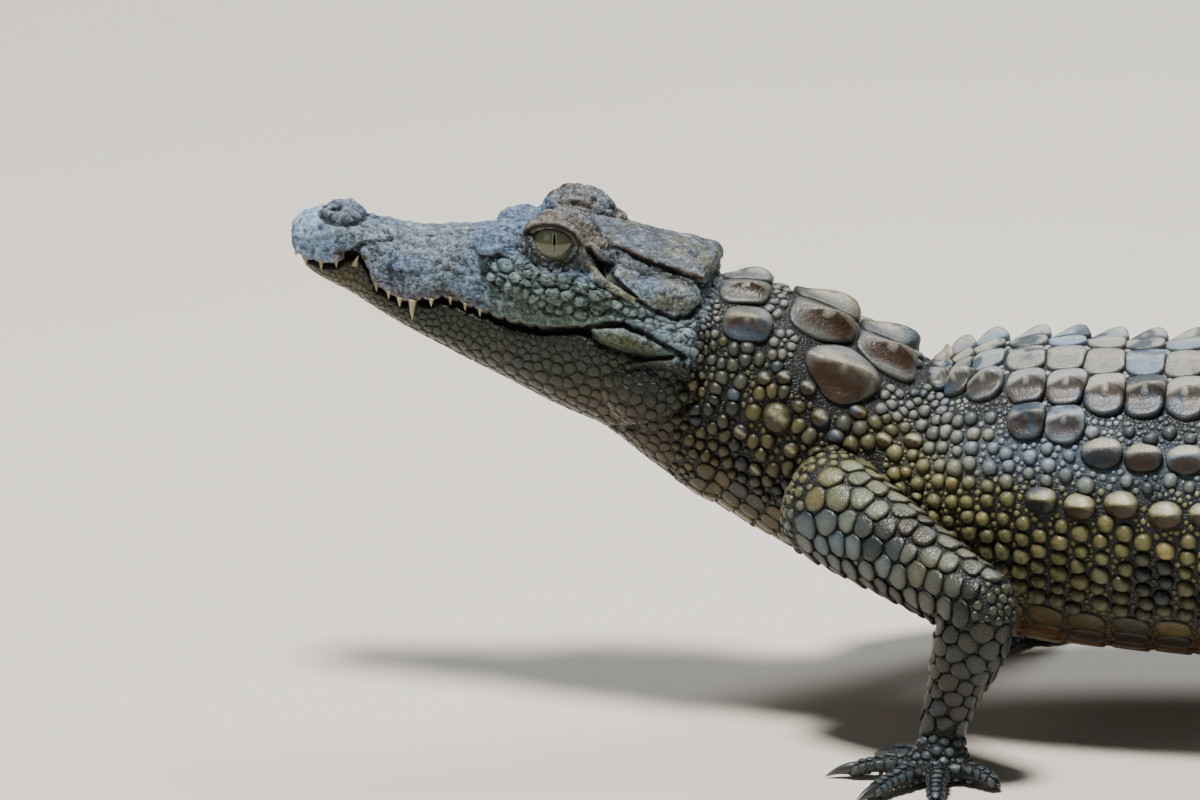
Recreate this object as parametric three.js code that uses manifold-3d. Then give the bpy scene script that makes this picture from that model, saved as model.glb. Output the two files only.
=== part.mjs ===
// A young Nile crocodile standing with its head raised, at life size, as a still museum model.
// Millimetres, +Z up. The animal faces -X, its left side is -Y, and its soles and tail lie at Z = 0.
import * as THREE from "three";
import { mergeVertices } from "three/addons/utils/BufferGeometryUtils.js";
import Module from "manifold-3d";

const wasm = await Module();
wasm.setup();

// ---------------------------------------------------------------- driving dimensions
const CUT = 0.4; // gap of each thin cut between two neighbouring nodes
const BOX_SIDE = 2000; // side of the block that trims everything below the floor
const DEGREE = Math.PI / 180;
const LEFT = -1;
const RIGHT = 1;

// The backbone, from inside the skull to the tail's tip: the centre of the body there, half its width and
// half its depth across the backbone, with the scutes on its back.
const BACKBONE = {
  skull: { at: [14, 0, 87.2], half: [19, 22.2] },
  nape: { at: [34, 0, 80.8], half: [23.5, 28] },
  neck: { at: [56, 0, 68.8], half: [28.5, 28.8] },
  shoulder: { at: [78, 0, 58.6], half: [34, 29] },
  chest: { at: [101, 0, 56.9], half: [40, 36] },
  ribs: { at: [130, 0, 55.2], half: [44.5, 37.4] },
  belly: { at: [165, 0, 54.3], half: [46.5, 38] },
  loin: { at: [205, 0, 51.8], half: [43.5, 35.4] },
  hips: { at: [240, 0, 47.5], half: [36.5, 31.6] },
  vent: { at: [270, 2, 41], half: [29, 28] },
  tail_root: { at: [300, 6, 33.5], half: [22.5, 25] },
  tail_1: { at: [340, 14, 26], half: [18, 22.5] },
  tail_2: { at: [386, 27, 20.8], half: [14.5, 20.6] },
  tail_3: { at: [440, 47, 17], half: [11.5, 17.3] },
  tail_4: { at: [498, 71, 13.6], half: [8.6, 13.9] },
  tail_5: { at: [556, 92, 10.2], half: [5.9, 10.4] },
  tail_6: { at: [612, 104, 6.8], half: [3.5, 7] },
  tail_tip: { at: [656, 106, 3.4], half: [1.3, 3.5] },
};
// The large keeled plates behind the head: place along the backbone in stations, degrees from the top line,
// and length and width.
const NAPE_PLATES = [
  [0.7, 12, 7.5, 8.5], [0.8, 36, 10.5, 9],
  [1.33, 10.8, 15.5, 12], [1.68, 32.5, 16, 10.5], [2.07, 9.2, 13, 12],
];
const PLATE_HEIGHT = 2.6;
const BODY_SQUARENESS = 2.35; // superellipse exponent of the body's cross-section
const TAIL_PARTS = [
  ["tail_base", "vent", "tail_1"],
  ["tail_middle", "tail_1", "tail_3"],
  ["tail_rear", "tail_3", "tail_5"],
  ["tail_end", "tail_5", "tail_tip"],
];

// The head's own frame sits at the back edge of the skull table, with X along the skull towards the tail.
const HEAD = { at: [27.6, 0, 113], pitch: 11, yaw: -6 };
// Snout and cranium: x, height of the top and of the upper lip, half width at the top and at the lip.
const UPPER_HEAD = {
  tip: { x: -103.2, top: -15.6, lip: -18.6, half: [1.6, 2.2] },
  muzzle: { x: -101.2, top: -12.8, lip: -21, half: [5.2, 6.8] },
  premaxilla: { x: -97, top: -10.9, lip: -21.7, half: [8, 10] },
  nostrils: { x: -91, top: -10, lip: -21.2, half: [9.3, 11.4] },
  notch: { x: -84.8, top: -10.5, lip: -18.4, half: [8.2, 9.4] },
  canine_front: { x: -79, top: -10.3, lip: -22.6, half: [9, 11.9] },
  canine: { x: -69, top: -8.8, lip: -25, half: [10.2, 14.3] },
  snout_waist: { x: -60, top: -6.5, lip: -22.6, half: [10, 14] },
  snout_rear: { x: -52, top: -3.4, lip: -22.8, half: [10.6, 16] },
  orbit_front: { x: -44, top: -1, lip: -23, half: [11.4, 19] },
  orbit: { x: -36, top: 0.2, lip: -21.8, half: [12, 21.4] },
  orbit_rear: { x: -27, top: 0.6, lip: -18.4, half: [12.6, 23] },
  temple: { x: -15, top: -0.6, lip: -17.6, half: [14, 24.4] },
  jaw_joint: { x: -4, top: -2.4, lip: -20, half: [15, 24.6] },
  occiput: { x: 4, top: -7, lip: -21.6, half: [14, 22.5] },
};
// The lower jaw closes against the upper lip: x, height of its underside, half width at the lip and below.
const LOWER_JAW = {
  tip: { x: -99.6, bottom: -24.2, half: [2, 1.6] },
  chin: { x: -96, bottom: -26.3, half: [7.4, 5.6] },
  symphysis: { x: -90, bottom: -28, half: [9.4, 7.2] },
  fourth_tooth: { x: -84.8, bottom: -29.4, half: [10, 7.6] },
  canine_front: { x: -79, bottom: -31.3, half: [10.4, 8.2] },
  canine: { x: -69, bottom: -34.4, half: [12.4, 9.4] },
  snout_waist: { x: -60, bottom: -36.8, half: [13.4, 10.6] },
  snout_rear: { x: -52, bottom: -38.8, half: [15.4, 12] },
  orbit_front: { x: -44, bottom: -40.4, half: [18, 13.6] },
  orbit: { x: -36, bottom: -42.4, half: [20.6, 15] },
  orbit_rear: { x: -27, bottom: -44.6, half: [22.4, 16.2] },
  temple: { x: -15, bottom: -46, half: [24, 17] },
  jaw_joint: { x: -4, bottom: -42.6, half: [24.2, 17] },
  retroarticular: { x: 5, bottom: -36, half: [21, 15] },
};
// Superellipse exponents: a jaw is flat where it meets the other one, and round on its outer side.
const JAW_ROUND = 2.4;
const JAW_FLAT = 5;
const EYE = { at: [-37.2, 12.2, -1.4], radius: 7, socket: 7.4 };
const BROW = { at: [-36.2, 10.2, 1.9], radii: [9.2, 5.4, 4.9] };
const NOSTRIL_MOUND = { at: [-90.8, 0, -10.6], radii: [6.8, 6, 2.4] };
const SKULL_TABLE = { front: -29, rear: 0, halfFront: 9.2, halfRear: 14.6, corner: 3 };
const TABLE_HEIGHT = { top: 1.6, under: -5, tilt: 5 };
// Teeth stand along the lips: distance from the head's origin, length below the lip, and root radius.
const UPPER_TEETH = [
  [-100.2, 1.5, 0.55], [-97.4, 1.9, 0.7], [-94, 2.1, 0.75], [-90.4, 1.6, 0.65],
  [-78.4, 1.4, 0.65], [-75, 1.8, 0.75], [-71.6, 2.2, 0.9], [-67.8, 4, 1.2],
  [-63.6, 1.9, 0.85], [-59.6, 1.6, 0.75], [-55.6, 1.4, 0.7], [-51.6, 1.2, 0.65],
];
const LOWER_TEETH = [[-84.8, 2.4, 0.95]];
const TOOTH_ROOT = 2.4; // depth of a tooth inside its jaw
const TOOTH_ROW = 0.86; // the teeth stand at this share of the lip's half width

// Limbs: joints in the part's frame before it is centred, and half thickness across and along the limb.
const FORE = {
  segments: ["upper_arm", "forearm", "hand"],
  halfs: { start: [12.6, 14.5], middle: [11.4, 12.6], elbow: [8.8, 9.4], shank: [8.6, 9.4], wrist: [5.8, 5.8] },
  palm: [8.6, 8.4, 4],
  digits: [
    { splay: -92, length: 18, claw: true },
    { splay: -44, length: 22.5, claw: true },
    { splay: 3, length: 26, claw: true },
    { splay: 42, length: 25, claw: false },
    { splay: 98, length: 18, claw: false },
  ],
  digitRadius: [3.1, 2.1],
  web: 0,
};
const HIND = {
  segments: ["thigh", "shin", "foot"],
  halfs: { start: [14, 16.5], middle: [13, 14.5], elbow: [10, 10.5], shank: [8.8, 10], wrist: [6, 6.4] },
  palm: [14.5, 8.8, 4.4],
  digits: [
    { splay: -34, length: 27, claw: true },
    { splay: -11, length: 34, claw: true },
    { splay: 12, length: 36, claw: true },
    { splay: 38, length: 30, claw: false },
  ],
  digitRadius: [3.6, 2.3],
  web: 0.62,
};
const WEB_HEIGHT = [0.5, 2]; // underside and top of the web between two digits
const CLAW = { length: 5.2, radius: 1.4, droop: 1.6, rise: 0.7 };
// How far a segment's round ends reach past its joints, in radii.
const UPPER_REACH = [0.7, 0.75];
const LOWER_REACH = [0.25, 0.75];
const LIMBS = {
  front_left: {
    kind: FORE, side: LEFT, heading: 48,
    joints: { root: [57, -31, 60], bend: [96, -61, 44], end: [86.5, -57, 12], sole: [86, -59, 3.4] },
  },
  front_right: {
    kind: FORE, side: RIGHT, heading: 34,
    joints: { root: [60, 30, 60], bend: [100, 58, 43], end: [110, 55, 12], sole: [107.5, 56.5, 3.4] },
  },
  hind_left: {
    kind: HIND, side: LEFT, heading: 28,
    joints: { root: [244, -20, 50], bend: [219, -62, 38], end: [249, -64, 13], sole: [239.5, -67.5, 3.7] },
  },
  hind_right: {
    kind: HIND, side: RIGHT, heading: 24,
    joints: { root: [246, 20, 50], bend: [230, 63, 38], end: [262, 62, 13], sole: [252.5, 65, 3.7] },
  },
};
// The tail's crest: two rows of upright scutes, which meet in one row behind the middle of the tail. Their
// count is per length between two stations of the backbone, so no scute crosses a cut.
const CREST = {
  double: { from: "hips", to: "tail_3", each: 3, low: 1.8, high: 6.6, apart: 0.34 },
  single: { from: "tail_3", to: "tail_tip", each: 4, low: 1.6, high: 8 },
  thickness: 1.5,
  cover: 0.86, // length of a scute as a share of its pitch
  sunk: 3, // depth of a crest scute's root inside the tail
  lean: 0.35, // how far the tip leans towards the tail's end, as a share of the scute's length
};

// ---------------------------------------------------------------- materials
const hide = (colour, roughness) => new THREE.MeshStandardMaterial({ color: colour, roughness, metalness: 0 });
const MATERIALS = {
  head: hide(0x6f7f86, 0.55),
  lower_jaw: hide(0x707a68, 0.6),
  neck: hide(0x5f6a66, 0.6),
  trunk: hide(0x7a7663, 0.6),
  tail: hide(0x6d6a5a, 0.6),
  limb: hide(0x6c7470, 0.6),
  claw: hide(0x2f3338, 0.4),
  eye: new THREE.MeshStandardMaterial({ color: 0x6b6c3c, roughness: 0.12, metalness: 0 }),
};

// ---------------------------------------------------------------- shape helpers
// A closed mesh as a manifold-3d solid.
function solid(geometry) {
  const bare = geometry.index ? geometry.clone() : geometry;
  bare.deleteAttribute("normal");
  bare.deleteAttribute("uv");
  const merged = mergeVertices(bare, 1e-4);
  const mesh = new wasm.Mesh({
    numProp: 3,
    vertProperties: new Float32Array(merged.attributes.position.array),
    triVerts: new Uint32Array(merged.index.array),
  });
  return new wasm.Manifold(mesh);
}

// A manifold-3d solid as a named three.js mesh.
function node(name, body, material) {
  const made = body.getMesh();
  const places = new Float32Array(made.numVert * 3);
  for (let i = 0; i < made.numVert; i++) {
    places.set(made.vertProperties.subarray(i * made.numProp, i * made.numProp + 3), i * 3);
  }
  const geometry = new THREE.BufferGeometry();
  geometry.setAttribute("position", new THREE.BufferAttribute(places, 3));
  geometry.setIndex(new THREE.BufferAttribute(new Uint32Array(made.triVerts), 1));
  geometry.computeVertexNormals();
  const mesh = new THREE.Mesh(geometry, material);
  mesh.name = name;
  return mesh;
}

// Joins rings of points, each ring with the same count, into one closed body with flat ends.
function loft(rings) {
  const count = rings[0].length;
  const places = rings.flat();
  const faces = [];
  for (let r = 0; r + 1 < rings.length; r++) {
    for (let i = 0; i < count; i++) {
      const a = r * count + i;
      const b = r * count + ((i + 1) % count);
      faces.push([a, b, b + count], [a, b + count, a + count]);
    }
  }
  for (const [ring, reversed] of [[0, true], [rings.length - 1, false]]) {
    const middle = places.length;
    places.push(rings[ring].reduce((sum, p) => sum.add(p), new THREE.Vector3()).divideScalar(count));
    for (let i = 0; i < count; i++) {
      const a = ring * count + i;
      const b = ring * count + ((i + 1) % count);
      faces.push(reversed ? [b, a, middle] : [a, b, middle]);
    }
  }
  const volume = faces.reduce((sum, [a, b, c]) => {
    return sum + places[a].dot(new THREE.Vector3().crossVectors(places[b], places[c]));
  }, 0);
  const outward = volume > 0 ? faces : faces.map(([a, b, c]) => [a, c, b]);
  const geometry = new THREE.BufferGeometry().setFromPoints(places);
  geometry.setIndex(outward.flat());
  return solid(geometry);
}

// A superellipse's point at an angle, with half widths 1.
function superellipse(angle, squareness) {
  const c = Math.cos(angle);
  const s = Math.sin(angle);
  const soften = (v) => Math.sign(v) * Math.abs(v) ** (2 / squareness);
  return [soften(c), soften(s)];
}

// Smooth values between named stations: place(t) for t counted in stations.
function along(rows) {
  const curve = (points) => new THREE.CatmullRomCurve3(points, false, "catmullrom", 0.5);
  const centre = curve(rows.map((row) => new THREE.Vector3(...row.at)));
  const size = curve(rows.map((row) => new THREE.Vector3(...row.half, 0)));
  const last = rows.length - 1;
  return {
    last,
    at: (t) => centre.getPoint(t / last),
    forward: (t) => centre.getTangent(t / last),
    half: (t) => size.getPoint(t / last),
  };
}

// The ring of a long body at t, across its run.
function crossRing(path, t, count, squareness, grow) {
  const forward = path.forward(t);
  const across = new THREE.Vector3().crossVectors(new THREE.Vector3(0, 0, 1), forward).normalize();
  const up = new THREE.Vector3().crossVectors(forward, across);
  const half = path.half(t);
  return Array.from({ length: count }, (_, i) => {
    const [c, s] = superellipse((i * 2 * Math.PI) / count, squareness);
    return path.at(t).addScaledVector(across, c * (half.x + grow)).addScaledVector(up, s * (half.y + grow));
  });
}

function longBody(path, from, to, { sides, rings, squareness = BODY_SQUARENESS, grow = 0 }) {
  const steps = Array.from({ length: rings }, (_, i) => from + ((to - from) * i) / (rings - 1));
  return loft(steps.map((t) => crossRing(path, t, sides, squareness, grow)));
}

function ellipsoid(at, radii, segments = 16) {
  const ball = new THREE.SphereGeometry(1, segments, segments * 0.6);
  ball.scale(...radii);
  ball.translate(...at);
  return solid(ball);
}

const joined = (solids) => solids.reduce((sum, one) => sum.add(one));

// ---------------------------------------------------------------- body
const stations = Object.keys(BACKBONE);
const station = (name) => stations.indexOf(name);
const backbone = along(Object.values(BACKBONE));

// Shifts a place on the backbone by a distance in millimetres.
function shifted(t, distance) {
  const step = 0.01;
  const speed = backbone.at(t).distanceTo(backbone.at(t - step)) / step;
  return t + distance / speed;
}

const floorBlock = solid(new THREE.BoxGeometry(BOX_SIDE, BOX_SIDE, BOX_SIDE).translate(0, 0, -BOX_SIDE / 2));
const aboveFloor = (body) => body.subtract(floorBlock);

// One upright scute: a low fin whose tip leans back, with its root sunk in the tail.
function crestScute(t, length, height, offset) {
  const shape = new THREE.Shape();
  shape.moveTo(-length / 2, -CREST.sunk);
  shape.lineTo(length / 2, -CREST.sunk);
  shape.lineTo(length * CREST.lean, height);
  shape.lineTo(-length / 2, height * 0.12);
  const fin = new THREE.ExtrudeGeometry(shape, { depth: CREST.thickness, bevelEnabled: false });
  fin.translate(0, 0, -CREST.thickness / 2);
  const forward = backbone.forward(t);
  const across = new THREE.Vector3().crossVectors(new THREE.Vector3(0, 0, 1), forward).normalize();
  const up = new THREE.Vector3().crossVectors(forward, across);
  const half = backbone.half(t);
  const share = offset / half.x;
  const rise = half.y * (1 - Math.abs(share) ** BODY_SQUARENESS) ** (1 / BODY_SQUARENESS);
  const root = backbone.at(t).addScaledVector(across, offset).addScaledVector(up, rise);
  fin.applyMatrix4(new THREE.Matrix4().makeBasis(forward, up, across.clone().negate()).setPosition(root));
  return solid(fin);
}

// One low plate of the nape, half sunk in the neck.
function napePlate(t, degrees, long, wide, side) {
  const forward = backbone.forward(t);
  const across = new THREE.Vector3().crossVectors(new THREE.Vector3(0, 0, 1), forward).normalize();
  const up = new THREE.Vector3().crossVectors(forward, across);
  const half = backbone.half(t);
  const angle = degrees * DEGREE;
  const [c, s] = superellipse(Math.PI / 2 - angle, BODY_SQUARENESS);
  const at = backbone.at(t).addScaledVector(across, side * c * half.x).addScaledVector(up, s * half.y);
  const plate = new THREE.SphereGeometry(1, 7, 3);
  plate.rotateX(90 * DEGREE);
  plate.scale(long / 2, wide / 2, PLATE_HEIGHT);
  plate.rotateX(-side * angle);
  plate.applyMatrix4(new THREE.Matrix4().makeBasis(forward, across, up).setPosition(at));
  return solid(plate);
}

function crestScutes() {
  const made = [];
  for (const [kind, row] of Object.entries({ double: CREST.double, single: CREST.single })) {
    const from = station(row.from);
    const count = (station(row.to) - from) * row.each;
    for (let i = 0; i < count; i++) {
      const t = from + (i + 0.5) / row.each;
      const ahead = backbone.at(t + 0.5 / row.each);
      const length = CREST.cover * backbone.at(t - 0.5 / row.each).distanceTo(ahead);
      const share = i / (count - 1);
      const height = kind === "double" ? row.low + (row.high - row.low) * share ** 1.4
        : row.high + (row.low - row.high) * share ** 1.2;
      const offset = kind === "double" ? row.apart * backbone.half(t).x * (1.5 - share) : 0;
      for (const side of offset ? [LEFT, RIGHT] : [RIGHT]) {
        made.push({ t, body: crestScute(t, length, height, side * offset) });
      }
    }
  }
  return made;
}

// ---------------------------------------------------------------- head
const headFrame = new THREE.Matrix4().makeRotationFromEuler(
  new THREE.Euler(0, HEAD.pitch * DEGREE, HEAD.yaw * DEGREE, "ZYX"),
).setPosition(...HEAD.at);

// The value of a table of head stations at x, read between its rows.
function readAt(rows, x, value) {
  const last = rows.length - 1;
  const after = THREE.MathUtils.clamp(rows.filter((row) => row.x < x).length, 1, last);
  const [a, b] = [rows[after - 1], rows[after]];
  return THREE.MathUtils.mapLinear(x, a.x, b.x, value(a), value(b));
}

// One ring across a jaw: top and bottom, half widths there, and how square its two halves are.
function jawRing({ x, top, bottom, halfTop, halfBottom, square }, count, grow) {
  const middle = (top + bottom) / 2;
  const deep = (top - bottom) / 2 + grow;
  return Array.from({ length: count }, (_, i) => {
    const angle = (i * 2 * Math.PI) / count;
    const [c, s] = superellipse(angle, Math.sin(angle) > 0 ? square[0] : square[1]);
    const wide = THREE.MathUtils.lerp(halfBottom, halfTop, (s + 1) / 2) + grow;
    return new THREE.Vector3(x, c * wide, middle + s * deep);
  });
}

function jawLoft(rows, sides, grow) {
  const rings = rows.map((row) => jawRing(row, sides, grow));
  if (grow) {
    rings.unshift(rings[0].map((p) => p.clone().setX(p.x - grow)));
    rings.push(rings.at(-1).map((p) => p.clone().setX(p.x + grow)));
  }
  return loft(rings);
}

const upperRows = Object.values(UPPER_HEAD);
const lipHeight = (x) => readAt(upperRows, x, (row) => row.lip);
const lipHalf = (x) => readAt(upperRows, x, (row) => row.half[1]);

function upperLoft(grow = 0) {
  const rows = upperRows.map(({ x, top, lip, half }) => {
    return { x, top, bottom: lip, halfTop: half[0], halfBottom: half[1], square: [JAW_ROUND, JAW_FLAT] };
  });
  return jawLoft(rows, 16, grow);
}

function lowerLoft(grow = 0) {
  const rows = Object.values(LOWER_JAW).map(({ x, bottom, half }) => {
    const top = lipHeight(x) - CUT;
    return { x, top, bottom, halfTop: half[0], halfBottom: half[1], square: [JAW_FLAT, JAW_ROUND] };
  });
  return jawLoft(rows, 14, grow);
}

function tooth(x, y, lip, length, radius, way, grow) {
  const profile = [
    new THREE.Vector2(0, -TOOTH_ROOT),
    new THREE.Vector2(radius + grow, -TOOTH_ROOT),
    new THREE.Vector2(0, length + 2 * grow),
  ];
  const cone = new THREE.LatheGeometry(profile, 4);
  cone.rotateX(way * 90 * DEGREE);
  cone.translate(x, y, lip);
  return solid(cone);
}

function teethAlong(list, way, grow = 0) {
  const made = [];
  for (const [x, length, radius] of list) {
    for (const side of [LEFT, RIGHT]) {
      made.push(tooth(x, side * lipHalf(x) * TOOTH_ROW, lipHeight(x), length, radius, way, grow));
    }
  }
  return made;
}

function skullTable() {
  const { front, rear, halfFront, halfRear, corner } = SKULL_TABLE;
  const { top, under, tilt } = TABLE_HEIGHT;
  const shape = new THREE.Shape();
  shape.moveTo(front, -halfFront);
  shape.lineTo(rear - corner, -halfRear);
  shape.quadraticCurveTo(rear + 1, -halfRear, rear - 0.4, -halfRear + corner);
  shape.quadraticCurveTo(rear - 1.6, 0, rear - 0.4, halfRear - corner);
  shape.quadraticCurveTo(rear + 1, halfRear, rear - corner, halfRear);
  shape.lineTo(front, halfFront);
  const bevel = 1.2;
  const plate = new THREE.ExtrudeGeometry(shape, {
    depth: top - under - 2 * bevel, bevelSize: bevel, bevelThickness: bevel, bevelSegments: 1, curveSegments: 3,
  });
  plate.translate(0, 0, under + bevel);
  plate.rotateY(tilt * DEGREE);
  return solid(plate);
}

function mirrored(at) {
  return [LEFT, RIGHT].map((side) => [at[0], side * at[1], at[2]]);
}

function headParts() {
  const sockets = mirrored(EYE.at).map((at) => ellipsoid(at, [EYE.socket, EYE.socket, EYE.socket], 12));
  const brows = mirrored(BROW.at).map((at) => ellipsoid(at, BROW.radii, 10));
  const mound = ellipsoid(NOSTRIL_MOUND.at, NOSTRIL_MOUND.radii, 10);
  const upperTeeth = joined(teethAlong(UPPER_TEETH, -1));
  const lowerTeeth = joined(teethAlong(LOWER_TEETH, 1));
  const cranium = joined([upperLoft(), ...brows, mound, skullTable()]);
  const upper = cranium.subtract(joined(teethAlong(LOWER_TEETH, 1, CUT)));
  const head = sockets.reduce((body, socket) => body.subtract(socket), upper).add(upperTeeth);
  const jaw = lowerLoft().subtract(joined(teethAlong(UPPER_TEETH, -1, CUT))).add(lowerTeeth);
  return { head: head.transform(headFrame.elements), jaw: jaw.transform(headFrame.elements) };
}

// ---------------------------------------------------------------- limbs
// A limb's segment: a round-ended body along a straight run, thick in the middle as its muscle is.
function limbSegment(from, to, halfs, reach, grow = 0) {
  const sides = 8;
  const a = new THREE.Vector3(...from);
  const b = new THREE.Vector3(...to);
  const forward = b.clone().sub(a).normalize();
  const across = new THREE.Vector3().crossVectors(new THREE.Vector3(0, 0, 1), forward).normalize();
  const up = new THREE.Vector3().crossVectors(forward, across);
  const last = halfs.length - 1;
  const lengthwise = halfs.map((half, i) => a.clone().lerp(b, i / last));
  const roundEnd = [0.45, 1];
  const rings = [];
  const ring = (centre, wide, deep) => Array.from({ length: sides }, (_, i) => {
    const angle = (i * 2 * Math.PI) / sides;
    return centre.clone()
      .addScaledVector(across, Math.cos(angle) * (wide + grow))
      .addScaledVector(up, Math.sin(angle) * (deep + grow));
  });
  const capped = (i, way) => {
    for (const share of way < 0 ? roundEnd : [...roundEnd].reverse()) {
      const beyond = (halfs[i][0] * (way < 0 ? reach[0] : reach[1]) + grow) * Math.sqrt(1 - share * share);
      const centre = lengthwise[i].clone().addScaledVector(forward, beyond * way);
      rings.push(ring(centre, halfs[i][0] * share, halfs[i][1] * share));
    }
  };
  capped(0, -1);
  for (let i = 1; i < last; i++) {
    rings.push(ring(lengthwise[i], ...halfs[i]));
  }
  capped(last, 1);
  return loft(rings);
}

// A digit's run over the floor: it rises over its knuckle and comes down to its tip.
function digitRun(sole, heading, side, digit, radii) {
  const angle = (heading + digit.splay) * DEGREE;
  const outward = new THREE.Vector3(-Math.cos(angle), side * Math.sin(angle), 0);
  const start = new THREE.Vector3(sole[0], sole[1], radii[0] * 0.9);
  const knuckle = start.clone().addScaledVector(outward, digit.length * 0.62).setZ(radii[0] * 1.15);
  const tip = start.clone().addScaledVector(outward, digit.length).setZ(radii[1] * 0.72);
  return { start, knuckle, tip, outward };
}

function digitBody(run, radii) {
  const sides = 5;
  const rows = [
    { at: run.start.toArray(), half: [radii[0], radii[0] * 0.9] },
    { at: run.knuckle.toArray(), half: [radii[0] * 0.92, radii[0] * 0.85] },
    { at: run.tip.toArray(), half: [radii[1], radii[1] * 0.85] },
  ];
  const path = along(rows);
  return loft([0, 1, 2].map((t) => crossRing(path, t, sides, 2, 0)));
}

// The webs between neighbouring digits: one flat fan near the floor.
function webFan(sole, runs, share) {
  const reach = (run, part) => run.start.clone().lerp(run.tip, part);
  const shape = new THREE.Shape();
  shape.moveTo(sole[0], sole[1]);
  runs.forEach((run, i) => {
    const rim = reach(run, share + 0.14);
    shape.lineTo(rim.x, rim.y);
    if (i + 1 < runs.length) {
      const hollow = reach(run, share).lerp(reach(runs[i + 1], share), 0.5);
      shape.lineTo(hollow.x, hollow.y);
    }
  });
  const [under, top] = WEB_HEIGHT;
  const fan = new THREE.ExtrudeGeometry(shape, { depth: top - under, bevelEnabled: false });
  fan.translate(0, 0, under);
  return solid(fan);
}

// A claw curves down from the tip of its digit.
function claw(run) {
  const sides = 4;
  const shares = [0, 0.5, 1];
  const root = run.tip.clone().addScaledVector(run.outward, CUT);
  const across = new THREE.Vector3().crossVectors(new THREE.Vector3(0, 0, 1), run.outward);
  const rings = shares.map((share) => {
    const centre = root.clone().addScaledVector(run.outward, CLAW.length * share);
    centre.z += CLAW.rise - CLAW.droop * share * share;
    const radius = CLAW.radius * (1 - 0.9 * share);
    return Array.from({ length: sides }, (_, i) => {
      const angle = (i * 2 * Math.PI) / sides;
      return centre.clone()
        .addScaledVector(across, Math.cos(angle) * radius * 0.8)
        .add(new THREE.Vector3(0, 0, Math.sin(angle) * radius));
    });
  });
  return loft(rings);
}

function limbParts(name, limb) {
  const { kind, side, heading, joints } = limb;
  const { start, middle, elbow, shank, wrist } = kind.halfs;
  const mixed = (a, b, share) => [a[0] + (b[0] - a[0]) * share, a[1] + (b[1] - a[1]) * share];
  const upperHalfs = [start, middle, mixed(middle, elbow, 0.6), elbow];
  const lowerHalfs = [elbow, shank, mixed(shank, wrist, 0.7), wrist];
  const trunkSpace = longBody(backbone, station("nape") + 0.5, station("tail_root"), {
    sides: 20, rings: 13, grow: CUT,
  });
  const upper = limbSegment(joints.root, joints.bend, upperHalfs, UPPER_REACH);
  const upperSpace = limbSegment(joints.root, joints.bend, upperHalfs, UPPER_REACH, CUT);
  const lower = limbSegment(joints.bend, joints.end, lowerHalfs, LOWER_REACH);
  const lowerSpace = limbSegment(joints.bend, joints.end, lowerHalfs, LOWER_REACH, CUT);

  const heelAt = new THREE.Vector3(...joints.end).lerp(new THREE.Vector3(...joints.sole), 0.55);
  const heel = ellipsoid(heelAt.toArray(), [wrist[0] * 1.15, wrist[0] * 1.15, wrist[1] * 0.9], 7);
  const palmBall = new THREE.SphereGeometry(1, 8, 5);
  palmBall.scale(...kind.palm);
  palmBall.rotateZ(-side * heading * DEGREE * 0.7);
  palmBall.translate(...joints.sole);
  const runs = kind.digits.map((digit) => digitRun(joints.sole, heading, side, digit, kind.digitRadius));
  const digits = runs.map((run) => digitBody(run, kind.digitRadius));
  const web = kind.web ? [webFan(joints.sole, runs, kind.web)] : [];
  const paw = aboveFloor(joined([solid(palmBall), heel, ...web, ...digits])).subtract(lowerSpace);
  const [upperName, lowerName, pawName] = kind.segments.map((segment) => `${name}_${segment}`);
  const parts = {
    [upperName]: upper.subtract(trunkSpace),
    [lowerName]: lower.subtract(upperSpace),
    [pawName]: paw,
  };
  kind.digits.forEach((digit, i) => {
    if (digit.claw) {
      parts[`${name}_claw_${i + 1}`] = aboveFloor(claw(runs[i]));
    }
  });
  return parts;
}

// ---------------------------------------------------------------- the whole animal
const group = new THREE.Group();
const place = (name, body, material) => group.add(node(name, body, material));

const { head, jaw } = headParts();
place("head", head, MATERIALS.head);
place("lower_jaw", jaw, MATERIALS.lower_jaw);
for (const [name, side] of [["eye_left", LEFT], ["eye_right", RIGHT]]) {
  const at = [EYE.at[0], side * EYE.at[1], EYE.at[2]];
  const ball = ellipsoid(at, [EYE.radius, EYE.radius, EYE.radius], 10);
  place(name, ball.transform(headFrame.elements), MATERIALS.eye);
}

const headSpace = joined([
  upperLoft(CUT),
  lowerLoft(CUT),
  skullTable().translate(0, 0, -CUT),
  skullTable().translate(CUT, 0, 0),
]).transform(headFrame.elements);
const neckEnd = station("shoulder");
const plates = NAPE_PLATES.flatMap((plate) => [LEFT, RIGHT].map((side) => napePlate(...plate, side)));
const neckBody = longBody(backbone, station("skull"), shifted(neckEnd, -CUT), { sides: 18, rings: 7 });
place("neck", joined([neckBody, ...plates]).subtract(headSpace), MATERIALS.neck);

const crest = crestScutes();
const withCrest = (body, from, to) => {
  return joined([body, ...crest.filter(({ t }) => t > from && t < to).map((scute) => scute.body)]);
};
const trunkEnd = station("vent");
const trunk = longBody(backbone, neckEnd, shifted(trunkEnd, -CUT), { sides: 20, rings: 13 });
place("trunk", withCrest(trunk, neckEnd, trunkEnd), MATERIALS.trunk);
for (const [name, from, to] of TAIL_PARTS) {
  const [a, b] = [station(from), station(to)];
  const end = to === "tail_tip" ? b : shifted(b, -CUT);
  const length = longBody(backbone, a, end, { sides: 10, rings: 6 });
  place(name, aboveFloor(withCrest(length, a, b)), MATERIALS.tail);
}

for (const [name, limb] of Object.entries(LIMBS)) {
  for (const [part, body] of Object.entries(limbParts(name, limb))) {
    place(part, body, part.includes("claw") ? MATERIALS.claw : MATERIALS.limb);
  }
}

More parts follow.
